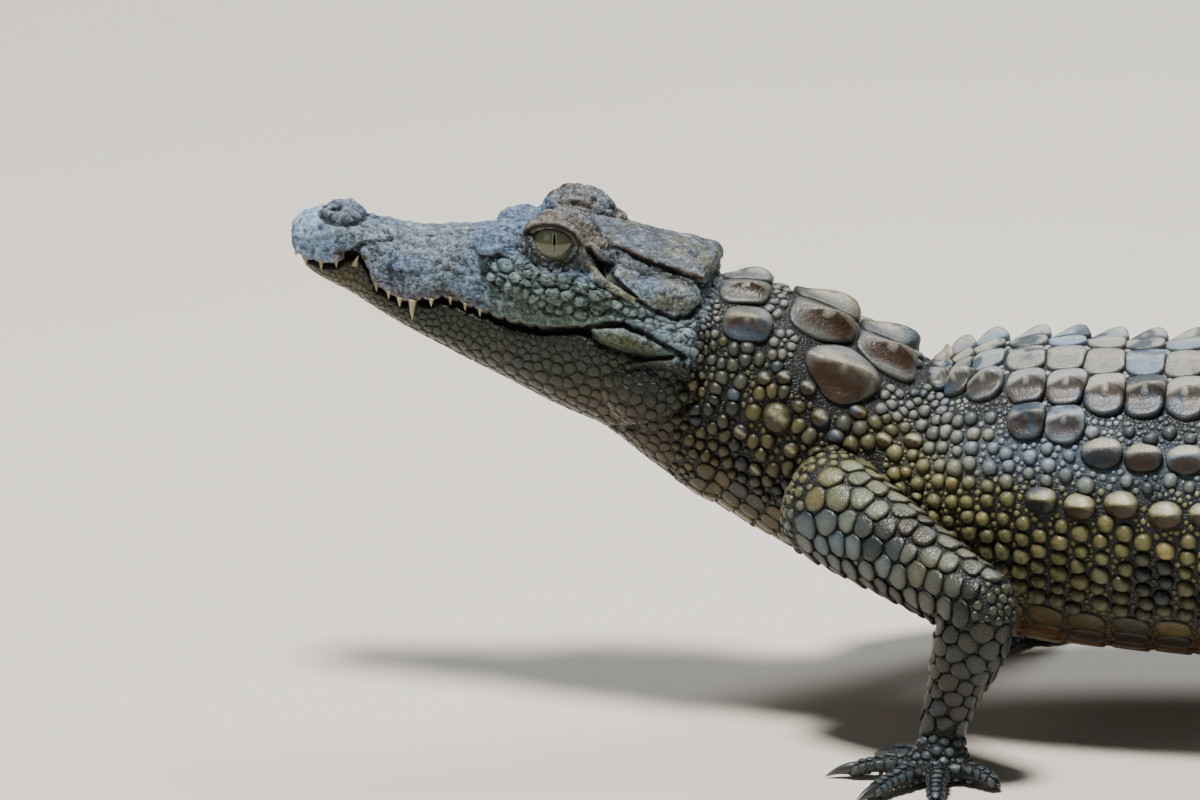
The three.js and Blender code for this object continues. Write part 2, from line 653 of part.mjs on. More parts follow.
// The origin is the middle of the animal's footprint, on the floor.
const box = new THREE.Box3().setFromObject(group);
group.position.set(-(box.min.x + box.max.x) / 2, -(box.min.y + box.max.y) / 2, -box.min.z);

export default group;
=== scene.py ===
# %% [markdown]
# # A young crocodile, standing with its head raised
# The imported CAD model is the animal's size and stance: smooth solids for the head, the body and the legs.
# This lesson gives it its looks. One skin is grown over the flesh, the head is sculpted in code, and every
# scale is a small solid of its own that sits on that skin.
# A sculptor would carve the scales by hand or stamp them with brushes. Here they are laid out by rule, as a
# crocodile's are, so each one can be counted, sized and coloured.

import itertools
import math
from types import SimpleNamespace

import bmesh
import bpy
import numpy as np
from mathutils import Matrix, Vector
from mathutils.bvhtree import BVHTree
from mathutils.kdtree import KDTree


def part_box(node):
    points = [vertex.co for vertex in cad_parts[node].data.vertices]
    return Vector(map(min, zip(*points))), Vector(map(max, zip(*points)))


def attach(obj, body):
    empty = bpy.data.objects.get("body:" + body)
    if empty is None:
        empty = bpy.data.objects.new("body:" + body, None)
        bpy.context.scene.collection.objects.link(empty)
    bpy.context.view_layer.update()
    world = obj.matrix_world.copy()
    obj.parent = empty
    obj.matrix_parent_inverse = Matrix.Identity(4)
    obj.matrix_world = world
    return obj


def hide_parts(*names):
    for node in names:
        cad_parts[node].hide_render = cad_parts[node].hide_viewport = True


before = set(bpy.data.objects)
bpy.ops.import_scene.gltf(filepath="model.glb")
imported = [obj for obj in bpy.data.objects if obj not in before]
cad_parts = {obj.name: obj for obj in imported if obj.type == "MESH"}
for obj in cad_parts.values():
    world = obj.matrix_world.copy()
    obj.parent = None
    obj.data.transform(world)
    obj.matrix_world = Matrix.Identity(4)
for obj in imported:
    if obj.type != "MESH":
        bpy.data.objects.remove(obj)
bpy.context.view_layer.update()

# %% [markdown]
# ## Sizes
# The tables below are in millimetres, in the frame that the animal was drawn in: it faces -X, its left side
# is -Y, and the floor is Z = 0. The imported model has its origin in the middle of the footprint, so each place
# is moved by ORIGIN and turned to metres when a mesh is made.
# The backbone is a row of stations from the skull to the tail's tip. Between them every value runs on a
# smooth curve, which is how a body tapers: no station shows as a corner.

# %% The backbone
MM = 0.001
ORIGIN = np.array([-289.7206, -6.1180, 0.0])
LEFT, RIGHT = -1, 1
BACKBONE = {  # centre x, y, z, half width, half depth
    "skull": (14, 0, 87.2, 19, 22.2), "nape": (34, 0, 80.8, 23.5, 28), "neck": (56, 0, 68.8, 28.5, 28.8),
    "shoulder": (78, 0, 58.6, 34, 29), "chest": (101, 0, 56.9, 40, 36), "ribs": (130, 0, 55.2, 44.5, 37.4),
    "belly": (165, 0, 54.3, 46.5, 38), "loin": (205, 0, 51.8, 43.5, 35.4), "hips": (240, 0, 47.5, 36.5, 31.6),
    "vent": (270, 2, 41, 29, 28), "tail_root": (300, 6, 33.5, 22.5, 25), "tail_1": (340, 14, 26, 18, 22.5),
    "tail_2": (386, 27, 20.8, 14.5, 20.6), "tail_3": (440, 47, 17, 11.5, 17.3),
    "tail_4": (498, 71, 13.6, 8.6, 13.9), "tail_5": (556, 92, 10.2, 5.9, 10.4),
    "tail_6": (612, 104, 6.8, 3.5, 7), "tail_tip": (656, 106, 3.4, 1.3, 3.5),
}
BODY_SQUARENESS = 2.05  # superellipse exponent of the body's cross-section
stations = list(BACKBONE)
spine_rows = np.array(list(BACKBONE.values()), float)
LAST = len(stations) - 1


def smooth_rows(rows, t):
    """Values of a table's rows at t, counted in rows, on a Catmull-Rom curve."""
    rows, t = np.asarray(rows, float), np.atleast_1d(np.asarray(t, float))
    ends = np.vstack([2 * rows[0] - rows[1], rows, 2 * rows[-1] - rows[-2]])
    i = np.clip(np.floor(t).astype(int), 0, len(rows) - 2)
    w = (t - i)[:, None]
    a, b, c, d = (ends[i + k] for k in range(4))
    return 0.5 * (2 * b + (c - a) * w + (2 * a - 5 * b + 4 * c - d) * w**2 + (3 * b - a - 3 * c + d) * w**3)


def unit(v):
    return v / np.maximum(np.linalg.norm(v, axis=-1, keepdims=True), 1e-12)


def spine(t):
    """The backbone at t: centre, directions tailwards, across and up, and half width and depth."""
    t = np.atleast_1d(np.asarray(t, float))
    row = smooth_rows(spine_rows, t)
    ahead, behind = np.clip(t + 0.01, 0, LAST), np.clip(t - 0.01, 0, LAST)
    tailwards = unit(smooth_rows(spine_rows, ahead)[:, :3] - smooth_rows(spine_rows, behind)[:, :3])
    across = unit(np.cross([0, 0, 1.0], tailwards))
    return row[:, :3], tailwards, across, np.cross(tailwards, across), row[:, 3:5]


def soften(value, squareness):
    return np.sign(value) * np.abs(value) ** (2 / squareness)


def body_points(t, turn, inset=(0, 0, 0)):
    """Points on the body at t, at an angle from the top line towards the right side. The inset is in
    millimetres at the back, the sides and the belly."""
    centre, _, across, up, half = spine(t)
    c, s = soften(np.sin(turn), BODY_SQUARENESS), soften(np.cos(turn), BODY_SQUARENESS)
    wide = half[:, 0] - np.minimum(inset[1], half[:, 0] * 0.3)
    deep = half[:, 1] - np.minimum(np.where(s > 0, inset[0], inset[2]), half[:, 1] * 0.3)
    return centre + across * (c * wide)[:, None] + up * (s * deep)[:, None]


SPINE_T = np.linspace(0, LAST, 1701)
COARSE_T = np.linspace(0, LAST, 341)
spine_line = smooth_rows(spine_rows, SPINE_T)[:, :3]
SPINE_S = np.r_[0, np.cumsum(np.linalg.norm(np.diff(spine_line, axis=0), axis=1))]
print("length along the backbone, mm:", round(float(SPINE_S[-1]), 1))

# %% [markdown]
# ## The head's own frame
# A head is easier to shape in its own axes: X runs along the skull towards the tail from the snout, the
# origin is the back edge of the flat skull table, and the whole head is turned into the body's frame at the
# end. The tables give the snout's outline from above and from the side, one row per landmark.

# %% The head's tables
HEAD_AT = np.array([27.6, 0, 113.0])
HEAD_PITCH, HEAD_YAW = math.radians(11), math.radians(-6)
HEAD_TURN = np.array(Matrix.Rotation(HEAD_YAW, 3, "Z") @ Matrix.Rotation(HEAD_PITCH, 3, "Y"))
UPPER_HEAD = {  # x, height of the top, height of the lip, half width at the top, half width at the lip
    "tip": (-103.2, -15.6, -18.6, 1.6, 2.2), "muzzle": (-101.2, -12.8, -21, 5.2, 6.8),
    "premaxilla": (-97, -10.9, -21.7, 8, 10), "nostrils": (-91, -10, -21.2, 9.3, 11.4),
    "notch": (-84.8, -10.5, -18.0, 8.2, 9.4), "canine_front": (-79, -10.3, -23.5, 9, 11.9),
    "canine": (-70.5, -9, -25.5, 10.1, 14.1), "snout_waist": (-60, -6.5, -22, 10, 14),
    "snout_rear": (-52, -3.4, -22.8, 10.6, 16), "orbit_front": (-44, -1, -23, 11.4, 19),
    "orbit": (-36, 0.2, -22, 12, 21.4), "orbit_rear": (-27, 0.6, -19.2, 12.6, 23),
    "temple": (-15, -0.6, -17.6, 14, 24.4), "jaw_joint": (-4, -2.4, -20, 15, 24.6),
    "occiput": (4, -7, -21.6, 14, 22.5),
}
LOWER_JAW = {  # x, height of the underside, half width at the lip, half width below
    "tip": (-99.6, -24.2, 2, 1.6), "chin": (-96, -26.3, 7.4, 5.6), "symphysis": (-90, -28, 9.4, 7.2),
    "fourth_tooth": (-84.8, -29.4, 10, 7.6), "canine_front": (-79, -31.3, 10.4, 8.2),
    "canine": (-69, -34.4, 12.4, 9.4), "snout_waist": (-60, -36.8, 13.4, 10.6),
    "snout_rear": (-52, -38.8, 15.4, 12), "orbit_front": (-44, -40.4, 18, 13.6),
    "orbit": (-36, -42.4, 20.6, 15), "orbit_rear": (-27, -44.6, 22.4, 16.2), "temple": (-15, -46, 24, 17),
    "jaw_joint": (-4, -42.6, 24.2, 17), "retroarticular": (5, -36, 21, 15),
}
upper_rows, lower_rows = np.array(list(UPPER_HEAD.values())), np.array(list(LOWER_JAW.values()))
JAW_ROUND, JAW_FLAT = 2.4, 5.0
EYE_AT = np.array([-37.2, 12.2, -1.4])
UPPER_TEETH = [  # x, length below the lip, root radius
    (-100.2, 1.5, 0.55), (-97.0, 2.6, 0.75), (-93, 2.8, 0.8), (-89.4, 1.8, 0.65), (-78.4, 1.6, 0.7),
    (-75, 1.8, 0.75), (-71.9, 2.2, 0.9), (-68.6, 4.2, 1.25), (-64.2, 1.9, 0.85), (-59.6, 1.6, 0.75),
    (-55.6, 1.4, 0.7), (-51.6, 1.2, 0.65),
]
LOWER_TEETH = [(-84.8, 2.4, 0.95)]
MOUTH_CORNER = -20.8


def mirrored(points, side):
    """Points with y turned over where side is -1."""
    return points * np.stack([np.ones(len(side)), side, np.ones(len(side))], -1)


def from_head(points):
    return np.asarray(points) @ HEAD_TURN.T + HEAD_AT


def to_head(points):
    return (np.asarray(points) - HEAD_AT) @ HEAD_TURN


def lip_height(x):
    return np.interp(x, upper_rows[:, 0], upper_rows[:, 2])


def lip_half(x):
    return np.interp(x, upper_rows[:, 0], upper_rows[:, 4])


eye_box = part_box("eye_left")
eye_found = np.array((eye_box[0] + eye_box[1]) / 2) / MM - ORIGIN
print("left eye: packed", eye_found.round(1), "drawn", from_head(EYE_AT * [1, LEFT, 1]).round(1))

# %% [markdown]
# ## Flesh
# The flesh is a set of closed lofts that run into each other: the body, the two jaws, the legs and each toe.
# They could be joined with boolean cuts, but those leave a hard edge at every join. A voxel remesh reads all
# of them as one volume and wraps a single even skin round it, as real skin is, and the joins melt together.
# The lofts stop short of the CAD outline by the depth of the scales that come on top.


# %% Lofts and balls
def loft(rings):
    """Closed body through rings of points: rings is (number, points, 3)."""
    rings = np.asarray(rings, float)
    n, k, _ = rings.shape
    places = np.vstack([rings.reshape(-1, 3), rings[0].mean(0), rings[-1].mean(0)])
    r, i = np.meshgrid(np.arange(n - 1), np.arange(k), indexing="ij")
    a, b = r * k + i, r * k + (i + 1) % k
    faces = np.stack([a, b, b + k, a + k], -1).reshape(-1, 4).tolist()
    around = range(k)
    faces += [[(i + 1) % k, i, n * k] for i in around]
    faces += [[(n - 1) * k + i, (n - 1) * k + (i + 1) % k, n * k + 1] for i in around]
    return places, faces


def ball(at, radii, turn=np.eye(3)):
    """A rounded lump with its own radii, turned by a matrix."""
    polar = np.linspace(0.04, math.pi - 0.04, 22)
    round_it = np.linspace(0, 2 * math.pi, 28, endpoint=False)
    p, q = np.meshgrid(polar, round_it, indexing="ij")
    rings = np.stack([np.cos(p), np.sin(p) * np.cos(q), np.sin(p) * np.sin(q)], -1) * radii
    return loft(rings @ np.asarray(turn).T + at)


def in_head(part):
    return from_head(part[0]), part[1]


ROUND = np.linspace(0, 2 * math.pi, 96, endpoint=False)
flesh = []
body_inset = (1.7, 1.0, 0.6)
body_rings = [body_points(np.full(len(ROUND), t), ROUND, body_inset) for t in np.linspace(0, LAST, 520)]
flesh.append(loft(body_rings))
print("body loft:", len(flesh[0][0]), "points")


# %% [markdown]
# ### Jaws
# The upper jaw's edge is scalloped: above each tooth the lip swells into a small lobe. The lobes are part of
# the loft, so the lips have them in outline as well as in light.


# %% The jaws' flesh
LOBE_DEPTH, LOBE_HALF = 1.1, 2.15
LOBES = [row[0] for row in UPPER_TEETH] + [-47.4, -43.2, -39.2, -35.4]


def lobe(x):
    """How far the upper lip hangs at x, from 0 between two teeth to 1 above a tooth."""
    share = np.abs(np.asarray(x)[..., None] - np.array(LOBES)) / LOBE_HALF
    return np.maximum(np.sqrt(np.clip(1 - share**2, 0, 1)).max(-1), np.clip((np.asarray(x) + 39) / 3, 0, 1))


def head_ring(x, wide, height):
    return np.stack([np.full(len(ROUND), x), wide, height], -1)


def jaw_rings(rows, upper):
    steps = np.linspace(0, len(rows) - 1, 260)
    rings = []
    for row in smooth_rows(rows, steps):
        x = row[0]
        if upper:
            top, under, half_top, half_under = row[1], row[2], row[3], row[4]
            under = under + 0.5 - LOBE_DEPTH * float(lobe(x)) * (1 if x < -50 else 0.8)
            square = (JAW_ROUND, JAW_FLAT)
        else:
            top, under, half_top, half_under = lip_height(x) + 1.2, row[1], row[2], row[3]
            half_top = min(half_top, lip_half(x) - 0.9)
            square = (JAW_FLAT, JAW_ROUND)
        middle, deep = (top + under) / 2, (top - under) / 2
        power = np.where(np.sin(ROUND) > 0, square[0], square[1])
        c, s = soften(np.cos(ROUND), power), soften(np.sin(ROUND), power)
        wide = half_under + (half_top - half_under) * (s + 1) / 2
        rings.append(head_ring(x, c * wide, middle + s * deep))
    return rings


flesh.append(in_head(loft(jaw_rings(upper_rows, True))))
flesh.append(in_head(loft(jaw_rings(lower_rows, False))))
LUMPS = {  # place on the right side, radii
    "lids": ((-37.2, 12.2, -1.4), (7.75, 7.75, 7.75)), "brow": ((-35.0, 11.3, 0.9), (8.8, 5.2, 6.1)),
    "brow_foot": ((-36.0, 8.6, 0.0), (7.6, 4.4, 5.0)), "front_corner": ((-44.5, 8.2, -7.6), (8.5, 5.4, 4.0)),
    "front_corner_outer": ((-47.5, 10.8, -7.0), (8.0, 5.4, 5.6)),
    "rear_corner": ((-28.6, 13.0, -2.6), (6.5, 5.6, 4.8)), "cheek": ((-34.0, 14.6, -11.4), (17.5, 6.9, 5.6)),
    "cheek_rear": ((-18.0, 16.6, -9.5), (13.0, 6.4, 5.8)), "nostrils": ((-91.3, 2.8, -10.9), (4.8, 3.9, 2.3)),
    "behind_nostrils": ((-82.5, 2.4, -13.2), (6.0, 4.6, 3.2)),
    "temple": ((-5.8, 15.2, -7.0), (6.9, 5.2, 4.3)),
    "mouth_corner": ((-13.2, 20.6, -18.4), (10.8, 3.9, 2.8)),
    "jaw_angle": ((-3.5, 20.2, -22.8), (8.2, 3.4, 2.3)),
    "jaw_muscle": ((-7.5, 16.2, -30.5), (12.5, 7.4, 10.5)),
    "long_tooth": ((-68, 10.4, -17.5), (8.5, 4.2, 5.6)),
}
for side in (LEFT, RIGHT):
    for at, radii in LUMPS.values():
        flesh.append(in_head(ball(np.array(at) * [1, side, 1], radii)))


def throat_rings():
    """The throat between the jaws' rear ends and the neck."""
    rows = [(-27, -44.0, 11), (-19.5, -45.9, 14.5), (-12, -48.9, 16.5), (-8, -50.8, 17.5), (-3, -53.2, 18.5),
            (2, -55.2, 19.5), (6.5, -57.3, 20), (12, -59.2, 20)]
    rings = []
    for x, under, half in smooth_rows(rows, np.linspace(0, len(rows) - 1, 60)):
        top = -24
        c, s = soften(np.cos(ROUND), 2.2), soften(np.sin(ROUND), 2.2)
        middle, deep = (top + under) / 2, (top - under) / 2
        rings.append(head_ring(x, c * half, middle + s * deep))
    return rings


flesh.append(in_head(loft(throat_rings())))


def table_rings():
    """The flat skull table behind the eyes, widest at its rear corners."""
    rings = []
    for x in np.linspace(-31, 1.2, 60):
        share = (x + 31) / 32.2
        end = max(0, share - 0.93) / 0.07
        half = 8.8 + 5.7 * share**0.9 - 1.7 * end**2
        top = 2.15 - 0.035 * (x + 15) - 0.5 * (1 - share) ** 2 - 1.3 * end**2.5
        rim = top - 1.5 - 1.8 * share
        c, s = soften(np.cos(ROUND), 4.0), soften(np.sin(ROUND), 4.0)
        bottom = rim - 2.2
        z = np.where(s > 0, (top + bottom) / 2 + s * (top - bottom) / 2, (top + bottom) / 2 + s * 2.4)
        z = z - 1.1 * np.abs(c) ** 3 * (s > 0)
        rings.append(head_ring(x, c * half, z))
    return rings


flesh.append(in_head(loft(table_rings())))
print("flesh pieces so far:", len(flesh))

# %% [markdown]
# ### Legs
# Each leg is two muscled segments, a heel and a palm, with toes that rise over a knuckle and come down to the
# claw. The hind foot has a web between its toes. A crocodile's leg has no hard joints in its outline, so the
# segments overlap and the remesh blends them.

# %% The legs' tables
FORE = {
    "halfs": [(12.6, 14.5), (11.4, 12.6), (8.8, 9.4), (8.6, 9.4), (5.8, 5.8)], "palm": (8.6, 8.4, 4.0),
    "toes": [(-92, 18, True), (-44, 22.5, True), (3, 26, True), (42, 25, False), (98, 18, False)],
    "toe_radius": (3.1, 2.1), "web": 0.0,
}
HIND = {
    "halfs": [(14, 16.5), (13, 14.5), (10, 10.5), (8.8, 10), (6, 6.4)], "palm": (14.5, 8.8, 4.4),
    "toes": [(-34, 27, True), (-11, 34, True), (12, 36, True), (38, 30, False)],
    "toe_radius": (3.6, 2.3), "web": 0.62,
}
LEGS = {  # kind, side, heading, root, bend, end, sole
    "front_left": (FORE, LEFT, 48, (57, -31, 60), (96, -61, 44), (86.5, -57, 12), (86, -59, 3.4)),
    "front_right": (FORE, RIGHT, 34, (60, 30, 60), (100, 58, 43), (110, 55, 12), (107.5, 56.5, 3.4)),
    "hind_left": (HIND, LEFT, 28, (244, -20, 50), (219, -62, 38), (249, -64, 13), (239.5, -67.5, 3.7)),
    "hind_right": (HIND, RIGHT, 24, (246, 20, 50), (230, 63, 38), (262, 62, 13), (252.5, 65, 3.7)),
}
LEG_INSET = 0.7


def segment_frame(start, end):
    a, b = np.array(start, float), np.array(end, float)
    along = unit(b - a)
    across = unit(np.cross([0, 0, 1.0], along))
    return a, b, along, across, np.cross(along, across)


def leg_segment(start, end, halfs, inset=LEG_INSET):
    """A round-ended muscle along a straight run. halfs are half widths and depths at even steps."""
    a, b, along, across, up = segment_frame(start, end)
    first, last = halfs[0], halfs[-1]
    length = np.linalg.norm(b - a)
    reach = (0.7 * first[0], 0.7 * last[0])
    rings = []
    for place in np.linspace(-reach[0], length + reach[1], 60):
        half = smooth_rows(halfs, np.clip(place / length, 0, 1) * (len(halfs) - 1))[0] - inset
        beyond = max(-place / reach[0], (place - length) / reach[1], 0)
        half = half * math.sqrt(max(1 - beyond**2, 0.0004))
        c, s = np.cos(ROUND[::2])[:, None], np.sin(ROUND[::2])[:, None]
        rings.append(a + along * place + across * c * half[0] + up * s * half[1])
    return loft(rings)


# %% Toes and webs
def toe_line(leg, toe):
    """A toe's run over the floor: start, knuckle, tip and its direction."""
    kind, side, heading, *_, sole = LEGS[leg]
    splay, length, _ = toe
    r0, r1 = kind["toe_radius"]
    angle = math.radians(heading + splay)
    outward = np.array([-math.cos(angle), side * math.sin(angle), 0])
    start = np.array([sole[0], sole[1], r0 * 0.9])
    knuckle = start + outward * length * 0.62
    knuckle[2] = r0 * 1.15
    tip = start + outward * length
    tip[2] = r1 * 0.72
    return start, knuckle, tip, outward


def toe_places(leg, toe, shares):
    start, knuckle, tip, _ = toe_line(leg, toe)
    return smooth_rows([start, knuckle, tip], np.asarray(shares) * 2)


def toe_body(leg, toe):
    kind = LEGS[leg][0]
    r0, r1 = kind["toe_radius"]
    *_, outward = toe_line(leg, toe)
    across = np.cross([0, 0, 1.0], outward)
    shares = np.linspace(0, 1, 44)
    rings = []
    for share, centre in zip(shares, toe_places(leg, toe, shares)):
        radius = r0 + (r1 - r0) * share**1.3 - 0.35
        radius += 0.22 * math.cos(share * 2 * math.pi * 2.6)  # the joints of the toe
        radius *= math.sqrt(max(1 - (max(share - 0.9, 0) / 0.1) ** 2 * 0.8, 0.02))
        c, s = np.cos(ROUND[::3])[:, None], np.sin(ROUND[::3])[:, None]
        rings.append(centre + across * c * radius + np.array([0, 0, 0.9]) * s * radius)
    return loft(rings)


def web_body(leg):
    """The thin fan of skin between the toes of a hind foot."""
    kind = LEGS[leg][0]
    runs = [toe_line(leg, toe) for toe in kind["toes"]]
    rim = []
    for i, (start, _, tip, _) in enumerate(runs):
        rim.append(start + (tip - start) * (kind["web"] + 0.16))
        if i + 1 < len(runs):
            other = runs[i + 1]
            reach = kind["web"] * 0.94
            rim.append(((start + (tip - start) * reach) + (other[0] + (other[2] - other[0]) * reach)) / 2)
    rim = np.array(rim)
    heel = np.array(LEGS[leg][6], float)
    shares = np.linspace(0, 1, 30)
    fine = smooth_rows(rim, np.linspace(0, len(rim) - 1, 60))
    rings = []
    for share in shares:
        line = heel + (fine - heel) * (0.04 + 0.96 * share)
        thick = 2.3 - 1.1 * share
        top, under = line.copy(), line[::-1].copy()
        top[:, 2], under[:, 2] = 0.55 + thick, 0.55
        rings.append(np.vstack([top, under]))
    return loft(rings)


# %% The legs' flesh
for leg, (kind, side, heading, root, bend, end, sole) in LEGS.items():
    start, middle, elbow, shank, wrist = (np.array(h, float) for h in kind["halfs"])
    flesh.append(leg_segment(root, bend, [start, middle, middle * 0.4 + elbow * 0.6, elbow]))
    flesh.append(leg_segment(bend, end, [elbow, shank, shank * 0.3 + wrist * 0.7, wrist]))
    heel = np.array(end) * 0.45 + np.array(sole) * 0.55
    flesh.append(ball(heel, [wrist[0] * 1.05, wrist[0] * 1.05, wrist[1] * 0.8]))
    turn = np.array(Matrix.Rotation(-side * math.radians(heading) * 0.7, 3, "Z"))
    palm = np.array(kind["palm"]) - [0.5, 0.5, 0.5]
    flesh.append(ball(np.array(sole, float), palm, turn))
    flesh += [toe_body(leg, toe) for toe in kind["toes"]]
    if kind["web"]:
        flesh.append(web_body(leg))
print("flesh pieces in all:", len(flesh))

# %% [markdown]
# ## One skin
# The remesh works at VOXEL, a little under a millimetre, which keeps the toes and the lips. A few rounds of
# smoothing take out its faint steps. Scales cover the body closely, so there the skin needs few triangles:
# a decimation with a vertex group thins the body and spares the head, where the skin itself is seen.


# %% Meshes as arrays
def link_object(name, data):
    made = bpy.data.objects.new(name, data)
    bpy.context.scene.collection.objects.link(made)
    return made


def shade_smooth(mesh):
    mesh.polygons.foreach_set("use_smooth", np.ones(len(mesh.polygons), bool))


def make_object(name, places, faces):
    """A new smooth object from places in drawn millimetres and lists of corner numbers."""
    mesh = bpy.data.meshes.new(name)
    mesh.from_pydata(((np.asarray(places) + ORIGIN) * MM).tolist(), [], faces)
    mesh.update()
    shade_smooth(mesh)
    return link_object(name, mesh)


def join_lofts(made):
    """Several lofts as one set of places and faces."""
    places, faces, count = [], [], 0
    for part_places, part_faces in made:
        places.append(part_places)
        faces += [[corner + count for corner in face] for face in part_faces]
        count += len(part_places)
    return np.vstack(places), faces


def read_mesh(obj):
    """Vertex places in drawn millimetres, edges and triangles of an object's mesh."""
    mesh = obj.data
    places = np.empty(len(mesh.vertices) * 3)
    mesh.vertices.foreach_get("co", places)
    edges = np.empty(len(mesh.edges) * 2, int)
    mesh.edges.foreach_get("vertices", edges)
    mesh.calc_loop_triangles()
    triangles = np.empty(len(mesh.loop_triangles) * 3, int)
    mesh.loop_triangles.foreach_get("vertices", triangles)
    return places.reshape(-1, 3) / MM - ORIGIN, edges.reshape(-1, 2), triangles.reshape(-1, 3)


def write_places(obj, places):
    obj.data.vertices.foreach_set("co", ((places + ORIGIN) * MM).astype(np.float32).ravel())
    obj.data.update()


def neighbour_means(values, edges):
    """For each vertex, the mean of the places of those it shares an edge with."""
    count = np.maximum(np.bincount(edges.ravel(), minlength=len(values)), 1)[:, None]
    total = np.zeros_like(values)
    for axis in range(3):
        total[:, axis] = np.bincount(edges[:, 0], values[edges[:, 1], axis], len(values))
        total[:, axis] += np.bincount(edges[:, 1], values[edges[:, 0], axis], len(values))
    return total / count


def relax(places, edges, rounds, strength=0.5, where=None):
    """Moves each vertex towards the middle of its neighbours."""
    weight = strength if where is None else strength * where[:, None]
    for _ in range(rounds):
        places = places + weight * (neighbour_means(places, edges) - places)
    return places


def vertex_normals(places, triangles):
    a, b, c = (places[triangles[:, k]] for k in range(3))
    face = np.cross(b - a, c - a)
    total = np.zeros_like(places)
    for corner in range(3):
        for axis in range(3):
            total[:, axis] += np.bincount(triangles[:, corner], face[:, axis], len(places))
    return unit(total)


def apply_modifiers(obj):
    """Replaces the mesh by what its modifiers make."""
    graph = bpy.context.evaluated_depsgraph_get()
    made = bpy.data.meshes.new_from_object(obj.evaluated_get(graph))
    old, obj.data = obj.data, made
    obj.modifiers.clear()
    bpy.data.meshes.remove(old)


# %% Remesh the flesh
VOXEL = 0.85
skin = make_object("skin", *join_lofts(flesh))
remesh = skin.modifiers.new("wrap", "REMESH")
remesh.mode, remesh.voxel_size = "VOXEL", VOXEL * MM
apply_modifiers(skin)
places, edges, triangles = read_mesh(skin)
places[:, 2] = np.maximum(places[:, 2], 0.15)
write_places(skin, relax(places, edges, 3, 0.45))
print("skin after the remesh:", len(places), "vertices,", len(triangles), "triangles")


# %% Thin the body, refine the head
def fade(value, start, end):
    """0 before start, 1 after end, smooth between; start may be the larger."""
    share = np.clip((np.asarray(value, float) - start) / (end - start), 0, 1)
    return share * share * (3 - 2 * share)


def thin_body(obj, ratio):
    """Decimates all but the head, whose vertices are left out of the group."""
    places = read_mesh(obj)[0]
    weight = fade(to_head(places)[:, 0], 4, 12)
    group = obj.vertex_groups.new(name="body")
    for i in np.nonzero(weight > 0.01)[0].tolist():
        group.add([i], float(weight[i]), "REPLACE")
    thin = obj.modifiers.new("thin", "DECIMATE")
    thin.ratio, thin.vertex_group = ratio, "body"
    apply_modifiers(obj)
    obj.vertex_groups.clear()


def refine(obj, chosen):
    """Cuts the chosen faces' edges in two; chosen(middles) says which, in the head's frame."""
    work = bmesh.new()
    work.from_mesh(obj.data)
    middles = np.array([face.calc_center_median() for face in work.faces])
    pick = chosen(to_head(middles / MM - ORIGIN))
    edges = {edge for face, take in zip(work.faces, pick) if take for edge in face.edges}
    bmesh.ops.subdivide_edges(work, edges=list(edges), cuts=1, use_grid_fill=True, smooth=0)
    bmesh.ops.triangulate(work, faces=[face for face in work.faces if len(face.verts) > 4])
    work.to_mesh(obj.data)
    work.free()


def around_head(h):
    rear = (h[:, 0] > MOUTH_CORNER) & (h[:, 2] > -40) & (np.abs(h[:, 1]) > 11)
    return (h[:, 0] < 6.5) & ((h[:, 2] > lip_height(h[:, 0]) - 2.2) | rear)


def around_details(h):
    a = np.abs(h[:, 1])
    eye = np.linalg.norm(np.stack([h[:, 0], a, h[:, 2]], -1) - EYE_AT, axis=1) < 11.5
    ear = (h[:, 0] > -30) & (h[:, 0] < -12) & (h[:, 2] > -10) & (h[:, 2] < 1) & (a > 13)
    return eye & (a > 9) | ear & (a > 15)


BODY_RATIO = 0.22  # triangles left on the body, as a share
thin_body(skin, BODY_RATIO)
refine(skin, around_head)
places, edges, triangles = read_mesh(skin)
head_mask = fade(to_head(places)[:, 0], 3, 0)
write_places(skin, relax(places, edges, 2, 0.5, head_mask))
refine(skin, around_details)
places, edges, triangles = read_mesh(skin)
head_mask = around_details(to_head(places)).astype(float)
write_places(skin, relax(places, edges, 2, 0.5, head_mask))
print("skin after thinning and refining:", len(places), "vertices,", len(triangles), "triangles")

# %% [markdown]
# ## Sculpting the head
# Each stroke below is a rule for how far a vertex moves, as one stroke of a sculptor's tool is: where it
# starts, how wide it is and how deep. Both sides of the head get the same strokes. The eye comes first: the
# skin is a ball over the eyeball, and inside the lids' outline it is pressed in behind the eye's surface.

# %% Stroke tools
GAZE = unit(np.array([0.111, 0.947, 0.302]))  # which way the eye looks, on the right side
EYE_REAR = unit(np.array([1.0, 0, 0]) - GAZE[0] * GAZE)
EYE_UP = np.cross(EYE_REAR, GAZE) * np.sign(np.cross(EYE_REAR, GAZE)[2])
EYE_OUTLINE = np.array([  # rearwards and up from the middle of the eyeball's face
    (-7.3, 0.0), (-6.0, 1.4), (-3.6, 2.6), (-1.0, 3.0), (1.3, 2.95), (3.9, 2.2), (6.4, -0.3),
    (5.9, -2.2), (4.8, -4.0), (2.5, -5.2), (0, -5.5), (-2.5, -5.15), (-4.5, -4.0), (-6.0, -2.0),
])


def to_run(points, a, b):
    """Where on the run from a to b each point is nearest, as a share, and its distance from there."""
    share = np.clip(((points - a) @ (b - a)) / ((b - a) @ (b - a)), 0, 1)
    return share, np.linalg.norm(points - a - share[:, None] * (b - a), axis=1)


